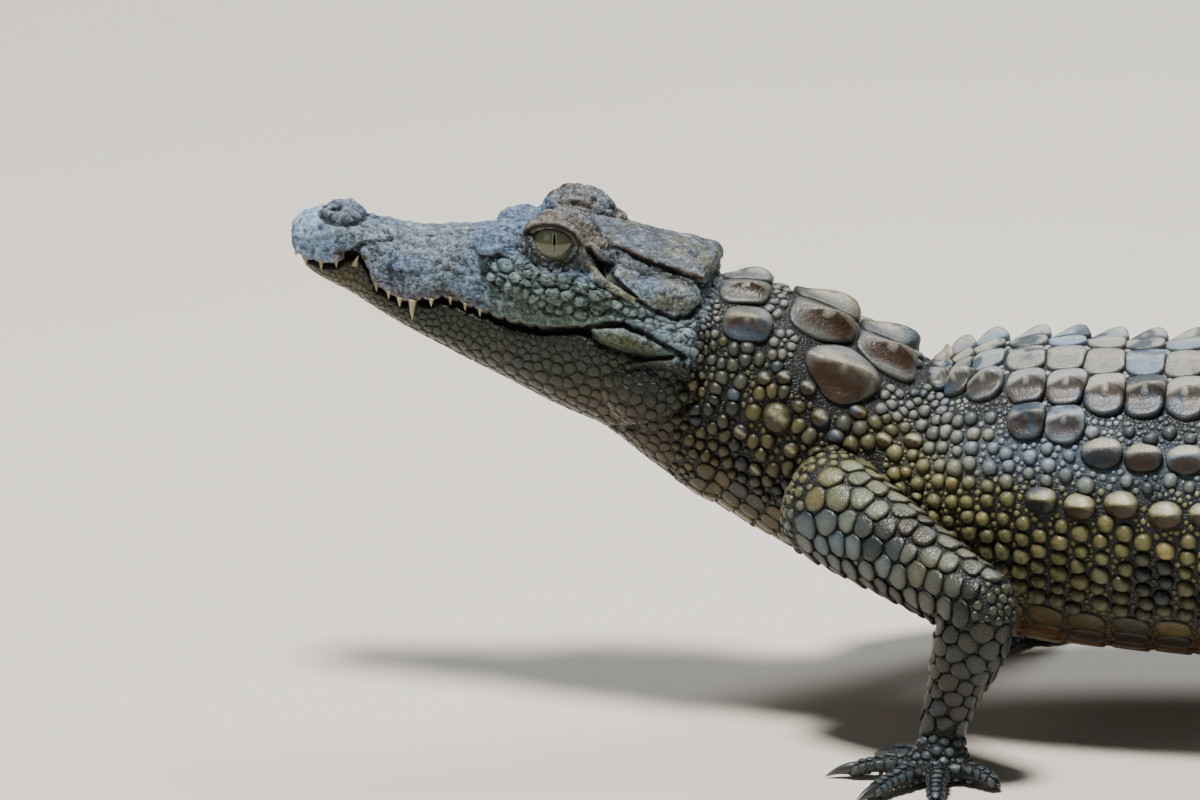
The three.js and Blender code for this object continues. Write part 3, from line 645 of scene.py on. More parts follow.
def signed_gap(points, outline):
    """Distance of flat points from a closed outline, negative inside it."""
    best = np.full(len(points), 1e9)
    inside = np.zeros(len(points), bool)
    for a, b in zip(outline, np.roll(outline, -1, 0)):
        best = np.minimum(best, to_run(points, a, b)[1])
        crosses = (a[1] > points[:, 1]) != (b[1] > points[:, 1])
        slope = (b[0] - a[0]) * (points[:, 1] - a[1]) / (b[1] - a[1] + 1e-12) + a[0]
        inside ^= crosses & (points[:, 0] < slope)
    return np.where(inside, -best, best)


def line_gap(points, line):
    """Distance from a line through flat points, and how far along it, from 0 to 1."""
    line = np.asarray(line, float)
    best, along = np.full(len(points), 1e9), np.zeros(len(points))
    for i, (a, b) in enumerate(zip(line[:-1], line[1:])):
        share, gap = to_run(points, a, b)
        along = np.where(gap < best, (i + share) / (len(line) - 1), along)
        best = np.minimum(best, gap)
    return best, along


def dab(distance, width):
    """A soft round profile: 1 in the middle, 0 from one width on."""
    return np.clip(1 - (distance / width) ** 2, 0, 1) ** 2


CELL_STEPS = list(itertools.product((-1, 0, 1), repeat=3))  # from a cell to itself and its neighbours


def lattice(cells, seed):
    """A fixed random number from 0 to 1 for each whole-numbered cell."""
    h = cells[..., 0] * 374761393 + cells[..., 1] * 668265263 + cells[..., 2] * 2147483647 + seed * 974711
    h = (h ^ (h >> 13)) * 1274126177
    h = (h ^ (h >> 16)) & 0xFFFFFF
    return h / float(0xFFFFFF)


def grain(points, size, seed=1):
    """Smooth noise from -1 to 1 whose blotches are about one size across, in the points' unit."""
    p = np.asarray(points, float) / size
    cell = np.floor(p).astype(np.int64)
    w = p - cell
    w = w * w * (3 - 2 * w)
    total = 0
    for i, j, k in itertools.product((0, 1), repeat=3):
        share = np.abs(1 - i - w[..., 0]) * np.abs(1 - j - w[..., 1]) * np.abs(1 - k - w[..., 2])
        total = total + share * lattice(cell + [i, j, k], seed)
    return total * 2 - 1


def pebbles(points, size, seed=1):
    """Distance to the nearest and second nearest of scattered points, in sizes: cells like small scales."""
    p = np.asarray(points, float) / size
    cell = np.floor(p).astype(np.int64)
    first, second = np.full(len(p), 9.0), np.full(len(p), 9.0)
    for step in CELL_STEPS:
        at = cell + step
        place = at + np.stack([lattice(at, seed + n) for n in (0, 7, 13)], -1)
        gap = np.linalg.norm(p - place, axis=1)
        second = np.where(gap < first, first, np.minimum(second, gap))
        first = np.minimum(first, gap)
    return first, second


def eye_measure(m):
    """Where points of the right side are over the eye, flat and in depth, and their gap to the lids' edge."""
    from_eye = m - EYE_AT
    flat = np.stack([from_eye @ EYE_REAR, from_eye @ EYE_UP], -1)
    distance = np.linalg.norm(from_eye, axis=1)
    near = (from_eye @ GAZE > 0) & (distance < 12)
    return from_eye, flat, distance, near, np.where(near, signed_gap(flat, EYE_OUTLINE), 9.0)


# %% Eyelids
SOCKET, LID = 6.25, 7.62  # radii round the eye's middle: behind the eye's surface, and on the lids
places, edges, triangles = read_mesh(skin)
on_head = np.nonzero(to_head(places)[:, 0] < 9)[0]
h = to_head(places[on_head])
side = np.where(h[:, 1] < 0, -1.0, 1.0)
m = mirrored(h, side)  # both halves as the right one
from_eye, eye_flat, eye_distance, near_eye, lid_gap = eye_measure(m)
above = fade(eye_flat[:, 1], -0.8, 1.2)  # 0 on the lower lid, 1 on the upper
lid_turn = np.arctan2(eye_flat[:, 1], eye_flat[:, 0])
lid = np.interp(lid_gap, [-0.55, -0.1, 0.1, 0.45], [0, 0.42, 0.9, 1])
radius = SOCKET + (LID + 0.45 * above - SOCKET) * lid
radius += 0.3 * above * dab(lid_gap - 0.6, 0.6)  # the upper lid's rounded edge
beads = 0.5 + 0.5 * np.cos(lid_turn * 30)
radius += (1 - above) * (0.15 + 0.32 * beads) * dab(lid_gap - 0.5, 0.5)  # the lower lid's row of beads
outer = np.where(eye_distance > radius, fade(lid_gap, 0.75, 1.5), fade(lid_gap, 1.2, 2.6))
take = np.where(near_eye, 1 - outer, 0)[:, None]
m = m * (1 - take) + (EYE_AT + unit(from_eye) * radius[:, None]) * take
print("vertices shaped by the lids:", int((take > 0.5).sum()))

# %% [markdown]
# ### Strokes
# The strokes are lines and dots on the side of the head, as x and height. The mouth is a deep groove under
# the scalloped lip. The ear is a slit with a smooth flap under it, behind the eye. The cheek is cobbled with
# soft knobs, and a padded fold fills the mouth's corner. Over the snout and the skull the skin is grown onto
# rough bone, so it is pitted and lumpy, and stays thin: nothing there moves.

# %% Lines and knobs
EAR = np.array([(-28.2, -0.1), (-25.4, -2.9), (-22.0, -4.5), (-18.2, -5.9), (-13.8, -7.7)])
EAR_HALF = [0.9, 1.6, 1.3, 0.75, 0.4]  # half width of the slit, from front to rear
EAR_FLAP = np.array([(-27.6, -4.0), (-23.2, -5.9), (-18.6, -7.1), (-14.6, -8.3)])
FLAP_LOW = np.array([(-28.6, -5.9), (-24.7, -7.2), (-20.5, -8.1), (-15.2, -9.2)])
TEMPLE = np.array([(-13.2, -8.6), (-9, -10.5), (-5.3, -11.4), (-0.6, -10.7), (1.7, -7.6), (1.6, -4.2)])
TEMPLE_TOP = np.array([(-14.5, -3.9), (-8, -3.1), (-1.5, -3.2)])
TABLE_RIDGE = np.array([(-25, 0.4), (-17, -1.5), (-9.8, -2.1), (-0.3, -2.3)])
CHEEK_FOLD = np.array([(-25.8, -20), (-23.4, -17.8), (-20, -16.2), (-15.7, -15.3), (-9.8, -16.0),
                       (-4.4, -18.1), (0.4, -20.1)])
PAD_LOW = np.array([(-24.4, -20.6), (-20.5, -22.2), (-14.3, -22.9), (-8.2, -22.2), (-2.5, -20.5)])
JAW_RIDGE = np.array([(-12, -24.8), (-8, -23.0), (-4.5, -22.0), (-0.2, -22.9), (3.2, -25.6)])
JAW_EDGE = np.array([(-0.4, -21.4), (3.6, -22.7), (5.4, -25.1), (5.8, -29.6), (1.9, -34.8), (-3.5, -38.6),
                     (-9.2, -42.2), (-15, -45.0)])
FRONT_BAR = np.array([(-54.8, -8.0), (-52.5, -7.1), (-50.0, -5.6)])
BAR_FOLD = FRONT_BAR + [0.5, -1.8]
LIP_PIT = np.array([(-89, -17.8), (-85, -18.8)])
NOTCH = np.array([(-87, -18.4), (-84.2, -15.2), (-81.7, -13.7), (-77.7, -11.9)])
INNER_BROW = np.array([(-47, 7.0), (-38, 5.6), (-30, 6.2), (-26, 8.6)])  # x and y, seen from above
CHAIN = np.array([(-50.2, -13.1), (-45.9, -13.2), (-41.4, -13.6), (-38.5, -14.6), (-35.9, -16.3),
                  (-32.1, -16.4)])
KNOBS = [  # x, height, half length, half height, how proud
    (-47.5, -8.9, 2.1, 1.4, 0.8), (-40.7, -8.5, 2.0, 1.5, 0.5), (-36.2, -9.1, 2.2, 1.7, 0.6),
    (-32.1, -8.6, 1.9, 1.8, 0.6), (-28.1, -8.7, 2.0, 1.7, 0.55), (-23.6, -9.7, 2.2, 1.3, 0.5),
    (-18.9, -10.7, 2.2, 1.3, 0.45), (-14.8, -11.7, 2.0, 1.3, 0.4), (-38.2, -11.7, 1.8, 1.4, 0.5),
    (-34.2, -12.0, 1.9, 1.4, 0.6), (-30.6, -11.9, 1.7, 1.5, 0.6), (-27.0, -12.4, 1.8, 1.5, 0.6),
    (-23.0, -13.2, 2.0, 1.4, 0.5), (-18.3, -14.0, 2.3, 1.3, 0.4), (-13.2, -14.2, 2.3, 1.2, 0.35),
    (-44.4, -10.6, 1.6, 1.2, 0.5), (-41.2, -11.2, 1.4, 1.1, 0.45), (-50.8, -10.4, 1.7, 1.1, 0.5),
    (-30.0, -15.2, 1.6, 1.4, 0.5), (-26.6, -15.8, 1.8, 1.3, 0.45),
]
GROOVES = [  # line, half width, depth (negative if raised), how far out it starts and where it is full
    (EAR + [0.9, 1.6], 1.5, -0.4, 12, 15), (EAR_FLAP, 1.3, -0.6, 12, 15), (FLAP_LOW, 0.7, 0.5, 12, 15),
    (TEMPLE, 1.0, 1.1, 12, 15), (TEMPLE_TOP, 0.8, 0.5, 12, 15), (TABLE_RIDGE + [0, 1.3], 1.2, -0.45, 7, 10),
    (TABLE_RIDGE, 0.75, 0.6, 7, 10), (CHEEK_FOLD, 0.95, 1.3, 15, 18),
    (CHEEK_FOLD + [0.6, 2.0], 1.9, -0.5, 15, 18), (PAD_LOW, 0.9, 1.1, 14, 17),
    (JAW_RIDGE, 1.1, -0.75, 14, 17), (JAW_RIDGE + [-0.4, -1.7], 0.9, 0.4, 14, 17),
    (JAW_EDGE, 1.2, 1.1, 8, 13), (JAW_EDGE + [-2.4, 1.2], 2.2, -0.35, 8, 13), (FRONT_BAR, 1.3, -0.9, 7, 10),
    (BAR_FOLD, 0.9, 0.8, 7, 10), (NOTCH, 1.1, 0.9, 4, 6), (LIP_PIT, 1.6, 0.6, 6, 8),
    (CHAIN + [0.3, -1.7], 0.9, 0.55, 11, 13),
]
TOP_KNOBS = [(-49.4, 4.8, 1.8, 0.8), (-46.0, 4.5, 1.7, 0.8), (-52.6, 2.6, 1.5, 0.5), (-54.5, 6.0, 1.4, 0.5)]

# %% Strokes on the head
normal = mirrored(vertex_normals(places, triangles)[on_head] @ HEAD_TURN, side)
x, y, z = m.T
flat = m[:, [0, 2]]
rise = np.zeros(len(m))  # how far each vertex moves out of the head
lip_line = lip_height(x) + 0.5 - LOBE_DEPTH * lobe(x)
in_mouth = fade(x, MOUTH_CORNER - 1.5, MOUTH_CORNER - 5)
below_lip = z - lip_line
lateral = fade(np.abs(normal[:, 1]) + np.abs(normal[:, 2]) * 0.3, 0.2, 0.5)
rise -= 2.1 * in_mouth * dab(below_lip + 0.6, 1.1) * lateral * (below_lip < 0.25)
rise += 0.45 * in_mouth * dab(below_lip - 1.2, 1.3) * (0.2 + lobe(x)) * (x > -100)
ear_gap, ear_along = line_gap(flat, EAR)
ear_half = np.interp(ear_along, np.linspace(0, 1, 5), EAR_HALF)
rise -= 2.6 * fade(y, 12, 15) * dab(ear_gap, ear_half)
for line, width, depth, inner, outer in GROOVES:
    rise -= depth * fade(y, inner, outer) * dab(line_gap(flat, line)[0], width)
knob_side = fade(y, 9, 12)
for at_x, at_z, long, high, proud in KNOBS:
    reach = np.hypot((x - at_x) / long, (z - at_z) / high)
    rise += knob_side * (1.1 * proud * np.clip(1 - reach**2.6, 0, 1) ** 0.7 - 0.45 * dab(reach - 1.12, 0.25))
chain_s = np.r_[0, np.cumsum(np.linalg.norm(np.diff(CHAIN, axis=0), axis=1))]
for share in np.linspace(0, chain_s[-1], 9):
    at_x, at_z = np.interp(share, chain_s, CHAIN[:, 0]), np.interp(share, chain_s, CHAIN[:, 1])
    reach = np.hypot((x - at_x) / 1.2, (z - at_z) / 1.15)
    rise += knob_side * (1.0 * np.clip(1 - reach**2.4, 0, 1) ** 0.7 - 0.4 * dab(reach - 1.15, 0.3))
on_top = fade(normal[:, 2], -0.2, 0.3)
for at_x, at_y, size, proud in TOP_KNOBS:
    rise += on_top * proud * dab(np.hypot(x - at_x, y - at_y), size)
inner_gap, _ = line_gap(m[:, :2], INNER_BROW)
rise -= 0.7 * dab(inner_gap, 0.9) * fade(z, -2, 0)
disc = np.sqrt(((x + 91.2) / 4.9) ** 2 + ((y - 2.6) / 4.5) ** 2)
rise += 0.45 * np.clip(1 - disc**4, 0, 1) * on_top
rise -= 0.7 * dab((disc - 1.12) * 5, 0.9) * on_top
nostril = np.sqrt(((x + 92.8) / 1.35) ** 2 + ((y - 4.2) / 1.05) ** 2)
rise -= 2.9 * dab(nostril, 1.25) * on_top
rise += 0.3 * dab(nostril - 1.5, 0.5) * on_top
print("lines stroked; deepest so far, mm:", round(float(rise.min()), 2))

# %% [markdown]
# ### The surface of the bone
# Three sizes of roughness: lumps of 3 mm, streaks of 1 mm that run along the snout, and cracks between
# small cells. On the cheek, the pad and the temple the cells are soft domes, as scales just begun.

# %% Roughness
upper = fade(below_lip, 0.3, 2.0) * fade(x, 5.5, 3.5)
calm = fade(lid_gap, 0.6, 2.4) * fade(ear_gap - ear_half, -0.1, 0.8)
wrinkle = above * fade(lid_gap, 2.0, 2.8) * fade(lid_gap, 7.5, 6)
rise += 0.14 * wrinkle * np.cos(lid_gap * 2 * math.pi / 1.25)
streaks = grain(m * [0.5, 1.4, 1.4], 1.25, 4) * 0.24 + grain(m * [0.7, 1, 1], 0.8, 8) * 0.14
lumps = grain(m, 3.6, 3) * 0.4 + grain(m, 1.8, 6) * 0.34
first, second = pebbles(m, 1.6, 5)
cracks = np.clip(0.16 - (second - first), 0, 1) * 2.0
pits = np.clip(0.3 - first, 0, 1) * 0.5
domed, next_dome = pebbles(m * [0.78, 0.8, 1.15] + 0.5 * grain(m, 4, 15)[:, None], 2.6, 9)
seam_of_domes = np.clip(0.2 - (next_dome - domed), 0, 1) * 2.2
cheek = fade(x + 3 * grain(m, 5, 66), -54, -43) * fade(z, -5.5, -7.5) * fade(y, 10, 13) * fade(x, 4, 0)
small_dome, next_small = pebbles(m, 1.25, 12)
pad = dab(np.hypot((x + 13.2) / 11.5, (z + 18.9) / 3.6), 1.25) * fade(y, 15, 18)
temple = dab(np.hypot((x + 5.5) / 7.5, (z + 7.1) / 3.9), 1.3) * fade(y, 12, 15)
behind_eye = dab(np.hypot(x + 28.0, z - 0.6), 4.5) * fade(y, 9, 12)
fine_domes = np.maximum(np.maximum(pad, temple), behind_eye)
bony = upper * calm * (1 - np.clip(cheek * 0.75 + fine_domes, 0, 1))
table = fade(x, -31, -26) * fade(z, -5.5, -3.5)
rise += bony * (lumps * (1 - 0.6 * table) + streaks - (cracks * fade(x, -97, -88) + pits) * (1 - 0.5 * table))
band = fade(np.abs(z - np.interp(x, [-52, -40, -26, -10, 2], [-9, -9.6, -10.8, -13, -14])), 5.0, 2.8)
soft = upper * calm * cheek * (1 - fine_domes)
rise += soft * (0.1 + 0.9 * band) * (0.35 - 0.6 * domed**2 - 1.2 * seam_of_domes)
rise += soft * (0.6 * streaks + 0.5 * (1 - band) * lumps - 0.6 * cracks)
small_seam = np.clip(0.16 - (next_small - small_dome), 0, 1)
rise += calm * fine_domes * (0.22 - 0.6 * small_dome**2 - 1.6 * small_seam)
m = m + normal * rise[:, None]
places[on_head] = from_head(mirrored(m, side))
write_places(skin, places)
shade_smooth(skin.data)


def hollowness(places, edges, normals, rounds):
    """How far each vertex lies below the even run of its surroundings, in millimetres."""
    even = places
    for _ in range(rounds):
        even = 0.5 * even + 0.5 * neighbour_means(even, edges)
    return ((even - places) * normals).sum(1)


final_normals = vertex_normals(places, triangles)
fine_hollow = hollowness(places, edges, final_normals, 6)
broad_hollow = hollowness(places, edges, final_normals, 40)
print("creases, mm:", np.percentile(fine_hollow[on_head], [5, 50, 95, 99]).round(3),
      np.percentile(broad_hollow[on_head], [5, 50, 95, 99]).round(3))
print("deepest stroke, mm:", round(float(rise.min()), 2), "highest:", round(float(rise.max()), 2))

# %% [markdown]
# ## Where a point is on the animal
# Scales and colours both follow the body: so far along the backbone, so far round from the middle of the
# back. These two measures, in millimetres, are the map that everything below is laid out on. Legs have the
# same two measures along and round each segment.

# %% Body measures
RING_T = np.linspace(0, LAST, 500)
RING_S = np.interp(RING_T, SPINE_T, SPINE_S)
HALF_TURN = np.linspace(0, math.pi, 121)
CHUNK = 4000  # points measured at a time, to spare memory
ring_arc = np.zeros((len(RING_T), len(HALF_TURN)))
for row, t in enumerate(RING_T):
    ring = body_points(np.full(len(HALF_TURN), t), HALF_TURN)
    ring_arc[row, 1:] = np.cumsum(np.linalg.norm(np.diff(ring, axis=0), axis=1))
RING_HALF = ring_arc[:, -1]


def half_girth(s):
    return np.interp(s, RING_S, RING_HALF)


def station_s(name):
    return float(np.interp(stations.index(name), SPINE_T, SPINE_S))


def body_at(s, w):
    """Points on the body's outline at s along the backbone and w round it, right side positive."""
    s, w = np.atleast_1d(s).astype(float), np.atleast_1d(w).astype(float)
    row = np.clip(np.searchsorted(RING_S, s), 1, len(RING_S) - 1)
    turn = np.array([np.interp(abs(b), ring_arc[r], HALF_TURN) for r, b in zip(row, w)])
    return body_points(np.interp(s, SPINE_S, SPINE_T), turn * np.sign(w))


def body_measure(points):
    """s, w and how far out of the body each point is: 1 on the outline, more on a leg."""
    points = np.asarray(points, float)
    line = smooth_rows(spine_rows, COARSE_T)[:, :3]
    nearest = np.concatenate([
        ((chunk[:, None] - line[None]) ** 2).sum(-1).argmin(1)
        for chunk in np.array_split(points, max(1, len(points) // CHUNK))
    ])
    t = COARSE_T[nearest]
    centre, tailwards, across, up, half = spine(t)
    out = points - centre
    step = (out * tailwards).sum(1)
    s = np.interp(t, SPINE_T, SPINE_S) + step
    wide, deep = (out * across).sum(1) / half[:, 0], (out * up).sum(1) / half[:, 1]
    size = (np.abs(wide) ** BODY_SQUARENESS + np.abs(deep) ** BODY_SQUARENESS) ** (1 / BODY_SQUARENESS)
    size = np.maximum(size, 1e-6)
    c = np.abs(wide / size) ** (BODY_SQUARENESS / 2)
    d = np.sign(deep) * np.abs(deep / size) ** (BODY_SQUARENESS / 2)
    turn = np.arctan2(c, d)
    row = np.clip(np.searchsorted(RING_S, s), 1, len(RING_S) - 1)
    share = turn / math.pi * (len(HALF_TURN) - 1)
    low = np.clip(share.astype(int), 0, len(HALF_TURN) - 2)
    arc = ring_arc[row, low] + (share - low) * (ring_arc[row, low + 1] - ring_arc[row, low])
    return s, arc * np.sign(wide), size


SEGMENTS = []  # leg, start, end
for leg, (_, _, _, root, bend, end, _) in LEGS.items():
    SEGMENTS += [(leg, np.array(a, float), np.array(b, float)) for a, b in ((root, bend), (bend, end))]


def nearest_segment(points):
    """Number of the leg segment nearest to each point."""
    best, index = np.full(len(points), 1e9), np.zeros(len(points), int)
    for number, (_, a, b) in enumerate(SEGMENTS):
        _, gap = to_run(points, a, b)
        index = np.where(gap < best, number, index)
        best = np.minimum(best, gap)
    return index


print("half girth at the belly, mm:", round(float(half_girth(station_s("belly"))), 1))

# %% [markdown]
# ## The skin as a ground for the scales
# Each scale is rooted on the skin: its middle and its outline are dropped onto the nearest place on the skin,
# so a large plate bends with the back and nothing floats.

# %% Places on the skin
skin_places, _, skin_triangles = read_mesh(skin)
skin_normals = vertex_normals(skin_places, skin_triangles)
ground = BVHTree.FromPolygons(skin_places.tolist(), skin_triangles.tolist())


def on_skin(points):
    """Nearest places on the skin and the smooth directions out of it there."""
    found = [ground.find_nearest(p) for p in np.asarray(points).tolist()]
    at = np.array([hit[0] for hit in found])
    corners = skin_triangles[[hit[2] for hit in found]]
    a, b, c = (skin_places[corners[:, k]] for k in range(3))
    total = np.cross(b - a, c - a)
    area = np.maximum((total**2).sum(1), 1e-12)
    u = (np.cross(b - at, c - at) * total).sum(1) / area
    v = (np.cross(c - at, a - at) * total).sum(1) / area
    w = 1 - u - v
    normal = u[:, None] * skin_normals[corners[:, 0]] + v[:, None] * skin_normals[corners[:, 1]]
    return at, unit(normal + w[:, None] * skin_normals[corners[:, 2]])


# %% [markdown]
# ## Laying out the scales
# A crocodile has a few large, keeled, bony plates on its back and nape, rows of round beads on its flanks,
# flat oblong plates on its belly, rings of scales on its tail and legs, and beads and fine granules in the
# gaps. They are laid out in that order: large ones at their own places, then rows, then what is scattered
# where there is room.
# Each scale is a row of the same table, so all of them can be shaped and coloured together.


# %% The table of scales
class Coat:
    """Scales laid so far: place, direction of lie, half sizes, height and keel, kind, measures and piece."""

    def __init__(self):
        for name in ("at", "lie", "size", "rise", "kind", "spread", "part"):
            setattr(self, name, [])

    def lay(self, at, lie, size, rise, kind, spread, part):
        """Adds scales. size is (half length, half width), rise (height, keel), spread where it lies on its
        piece's unwrap, in millimetres, and part the piece that it belongs to."""
        n = len(at)
        self.at.append(np.asarray(at, float))
        self.lie.append(np.broadcast_to(np.asarray(lie, float), (n, 3)))
        self.size.append(np.broadcast_to(np.asarray(size, float), (n, 2)))
        self.rise.append(np.broadcast_to(np.asarray(rise, float), (n, 2)))
        self.kind += [kind] * n
        self.spread.append(np.asarray(spread, float))
        self.part += [part] * n if isinstance(part, str) else list(part)

    def column(self, name):
        values = getattr(self, name)
        return np.array(values) if name in ("kind", "part") else np.vstack(values)


coat = Coat()
chance = np.random.default_rng(11)
OFF_OUTLINE = 2.6  # a place whose skin is further from the body's outline than this is under a leg
HEAD_EDGE = 3.5  # scales of the body start this far behind the head frame's origin


def lay_on_body(s, w, size, rise, kind, part):
    """Scales at body measures s and w. Those that a leg covers are left out."""
    s, w = np.atleast_1d(s).astype(float), np.atleast_1d(w).astype(float)
    size = np.broadcast_to(np.asarray(size, float), (len(s), 2))
    rise = np.broadcast_to(np.asarray(rise, float), (len(s), 2))
    outline = body_at(s, w)
    at, _ = on_skin(outline)
    free = (np.linalg.norm(at - outline, axis=1) < OFF_OUTLINE) & (to_head(at)[:, 0] > HEAD_EDGE)
    _, tailwards, _, _, _ = spine(np.interp(s, SPINE_S, SPINE_T))
    spread = np.stack([s, w], -1)
    coat.lay(at[free], tailwards[free], size[free], rise[free], kind, spread[free], part)


# %% [markdown]
# ### Nape and back
# Behind the skull stand two pairs of small plates, then the nape shield: three pairs of large ones, the
# widest a pair with a steep outer face. The back has rows of plates across it, one row for each bone of the
# spine. Each plate carries a keel that rises towards the tail.

# %% Plates of the nape and back
NAPE = [  # s, w, half length, half width, height, keel
    (14.6, 6.2, 6.4, 5.9, 1.2, 2.2), (16.8, 18.0, 6.4, 5.4, 1.3, 3.4),
    (30.4, 7.6, 9.6, 8.0, 1.3, 3.6), (39.0, 21.4, 10.6, 8.2, 1.3, 4.8), (48.6, 7.6, 9.6, 8.0, 1.3, 3.6),
]
NECK_TUBERCLES = [
    (30.8, 39.0, 4.3, 4.0, 2.3, 0.5), (39.8, 34.5, 2.8, 2.5, 1.6, 0.3), (45.5, 37.5, 2.4, 2.2, 1.4, 0.3),
    (47.6, 29.5, 2.6, 1.9, 1.1, 0.2), (24.0, 31.0, 2.2, 2.0, 1.4, 0.2), (27.6, 29.0, 2.2, 2.1, 1.4, 0.2),
    (33.5, 29.0, 2.4, 2.2, 1.4, 0.2), (37.6, 45.0, 2.4, 2.2, 1.4, 0.2), (25.0, 46.0, 2.5, 2.2, 1.5, 0.2),
    (55.6, 3.6, 2.6, 2.3, 1.0, 0.4), (56.0, 33.5, 2.6, 2.2, 1.2, 0.3), (63.5, 31.0, 2.8, 2.3, 1.2, 0.3),
    (33.0, 54.0, 2.2, 2.0, 1.2, 0.2), (19.5, 37.0, 2.0, 1.8, 1.2, 0.2),
]
for table, kind in ((NAPE, "shield"), (NECK_TUBERCLES, "tubercle")):
    for s, w, long, wide, height, keel in table:
        for side in (LEFT, RIGHT):
            lay_on_body(s, side * w, (long, wide), (height, keel), kind, "neck_scales")

ROW_PITCH = 9.75
FIRST_ROWS = [66.8, 77.2, 86.1, 95.0, 104.2, 114.0, 124.5, 134.5]  # middle of each row across the back
FIRST_LANES = {  # distance from the middle and half width of each plate, by row
    0: [(4.4, 3.6), (12.2, 3.6)], 1: [(5.2, 5.0), (15.4, 4.9)], 2: [(6.2, 6.0), (18.8, 6.2)],
    3: [(7.5, 7.3), (21.4, 6.8), (33.0, 5.4)], 4: [(7.5, 7.3), (21.4, 6.8), (33.0, 5.4)],
}
row_middles = np.r_[FIRST_ROWS, np.arange(144.3, station_s("vent") - 4, ROW_PITCH)]
row_pitch = np.gradient(row_middles)
for number, (s, pitch) in enumerate(zip(row_middles, row_pitch)):
    stretch = float(half_girth(s)) / 123
    rear = fade(s, 200, 262)
    lanes = FIRST_LANES.get(number, [(8.0, 7.8), (22.8 - 1.5 * rear, 7.4 - 1.2 * rear)])
    for lane, (w, wide) in enumerate(lanes):
        for side in (LEFT, RIGHT):
            wobble = chance.normal(0, 0.25, 2)
            size = (pitch * 0.58, wide * stretch * 1.08)
            height = ((1.2, 1.7, 1.7)[lane], (0.6, 2.9, 3.0)[lane] + 0.4 * rear)
            lay_on_body(s + wobble[0] + 0.6 * lane, side * (w * stretch) + wobble[1], size, height, "plate",
                        "back_scales")
print("plates on nape and back:", len(coat.part))

# %% [markdown]
# ### Flanks
# Below the plates the flank carries two lanes of large keeled ovals, one for each row of the back, then
# beads: two to each row, a little out of line as they grow. On the neck the beads are smaller and crowd
# together round larger knobs.

# %% Ovals and beads of the flanks
# first row, shift along, distance round, scatter of both, size from and to, half length, height, keel
OVAL_LANES = [
    (5, 1.2, 43, 0.5, 0.8, 0.9, 1.08, 5.6, 2.1, 2.0), (4, -3.2, 56, 0.6, 1.0, 0.72, 0.92, 5.3, 2.0, 1.7),
]
for number, s in enumerate(row_middles):
    stretch = float(half_girth(s)) / 130
    for side in (LEFT, RIGHT):
        for first, shift, w, loose_s, loose_w, small, big, long, height, keel in OVAL_LANES:
            if number >= first:
                grow = chance.uniform(small, big)
                at_s = s + shift + chance.normal(0, loose_s)
                lay_on_body(at_s, side * (w * stretch + chance.normal(0, loose_w)), (long * grow, 4.2 * grow),
                            (height, keel), "oval", "back_scales")


def tree_of(points):
    tree = KDTree(len(points))
    for i, p in enumerate(points.tolist()):
        tree.insert(p, i)
    tree.balance()
    return tree


def room_for(at, radius, share):
    """Which places keep clear of the scales laid so far, each read as an oval."""
    laid_at, laid_size, laid_lie = coat.column("at"), coat.column("size"), coat.column("lie")
    tree = tree_of(laid_at)
    reach = float(laid_size.max())
    keep = []
    for p, r in zip(at, np.broadcast_to(radius, len(at)).tolist()):
        near = tree.find_range(p.tolist(), reach + r)
        if near:
            index, gap = [n[1] for n in near], np.maximum([n[2] for n in near], 1e-6)
            along = ((p - laid_at[index]) * laid_lie[index]).sum(1) / gap
            oval = 1 / np.sqrt((along / laid_size[index, 0]) ** 2 + (1 - along**2) / laid_size[index, 1] ** 2)
            keep.append(bool((gap > share * (oval + r)).all()))
        else:
            keep.append(True)
    return np.array(keep, bool)


FLANK_PITCH = 4.35
beads_s, beads_w = [], []
for number, (s, pitch) in enumerate(zip(row_middles, row_pitch)):
    belly_edge = half_girth(s) * 0.665
    top = 36 if number >= 4 else 22 + 3 * number
    for column in (-0.25, 0.25):
        shift = FLANK_PITCH / 2 if column > 0 else 0
        lane = np.arange(top + shift, belly_edge, FLANK_PITCH)
        for side in (LEFT, RIGHT):
            beads_w.append(side * lane)
            beads_s.append(np.full(len(lane), s + column * pitch))
beads_s, beads_w = np.concatenate(beads_s), np.concatenate(beads_w)
beads_s = beads_s + chance.normal(0, 0.36, len(beads_s))
beads_w = beads_w + chance.normal(0, 0.36, len(beads_w))
bead_radius = chance.normal(1.8, 0.2, len(beads_s)) + 0.4 * fade(np.abs(beads_w), 52, 72)
bead_radius = np.clip(bead_radius, 1.2, 2.6)
clear = room_for(body_at(beads_s, beads_w), bead_radius, 0.88)
for side, part in ((LEFT, "flank_scales_left"), (RIGHT, "flank_scales_right")):
    mine = clear & (beads_w * side > 0)
    radius = bead_radius[mine]
    lay_on_body(beads_s[mine], beads_w[mine], np.stack([radius, radius * 0.97], -1),
                np.stack([radius * 0.85, radius * 0.1], -1), "bead", part)
print("scales so far:", len(coat.part))

# %% [markdown]
# ### Belly and throat
# The underside is paved: oblong plates, flat and smooth, in bands that line up with the rows of the back. On
# the throat they are smaller and squarer.


# %% Belly plates
def pave(s, edge_share, wide, long, step_share, height, loose):
    """One band of belly plates round the underside."""
    girth = float(half_girth(s))
    edge = girth * edge_share
    count = max(2, round((girth - edge) / wide))
    step = (girth - edge) / count
    for i in range(count):
        for side in (LEFT, RIGHT):
            shift = chance.normal(0, loose) if loose else 0
            lay_on_body(s + shift, side * (edge + (i + 0.5) * step), (long, step * step_share), (height, 0),
                        "belly", "belly_scales")


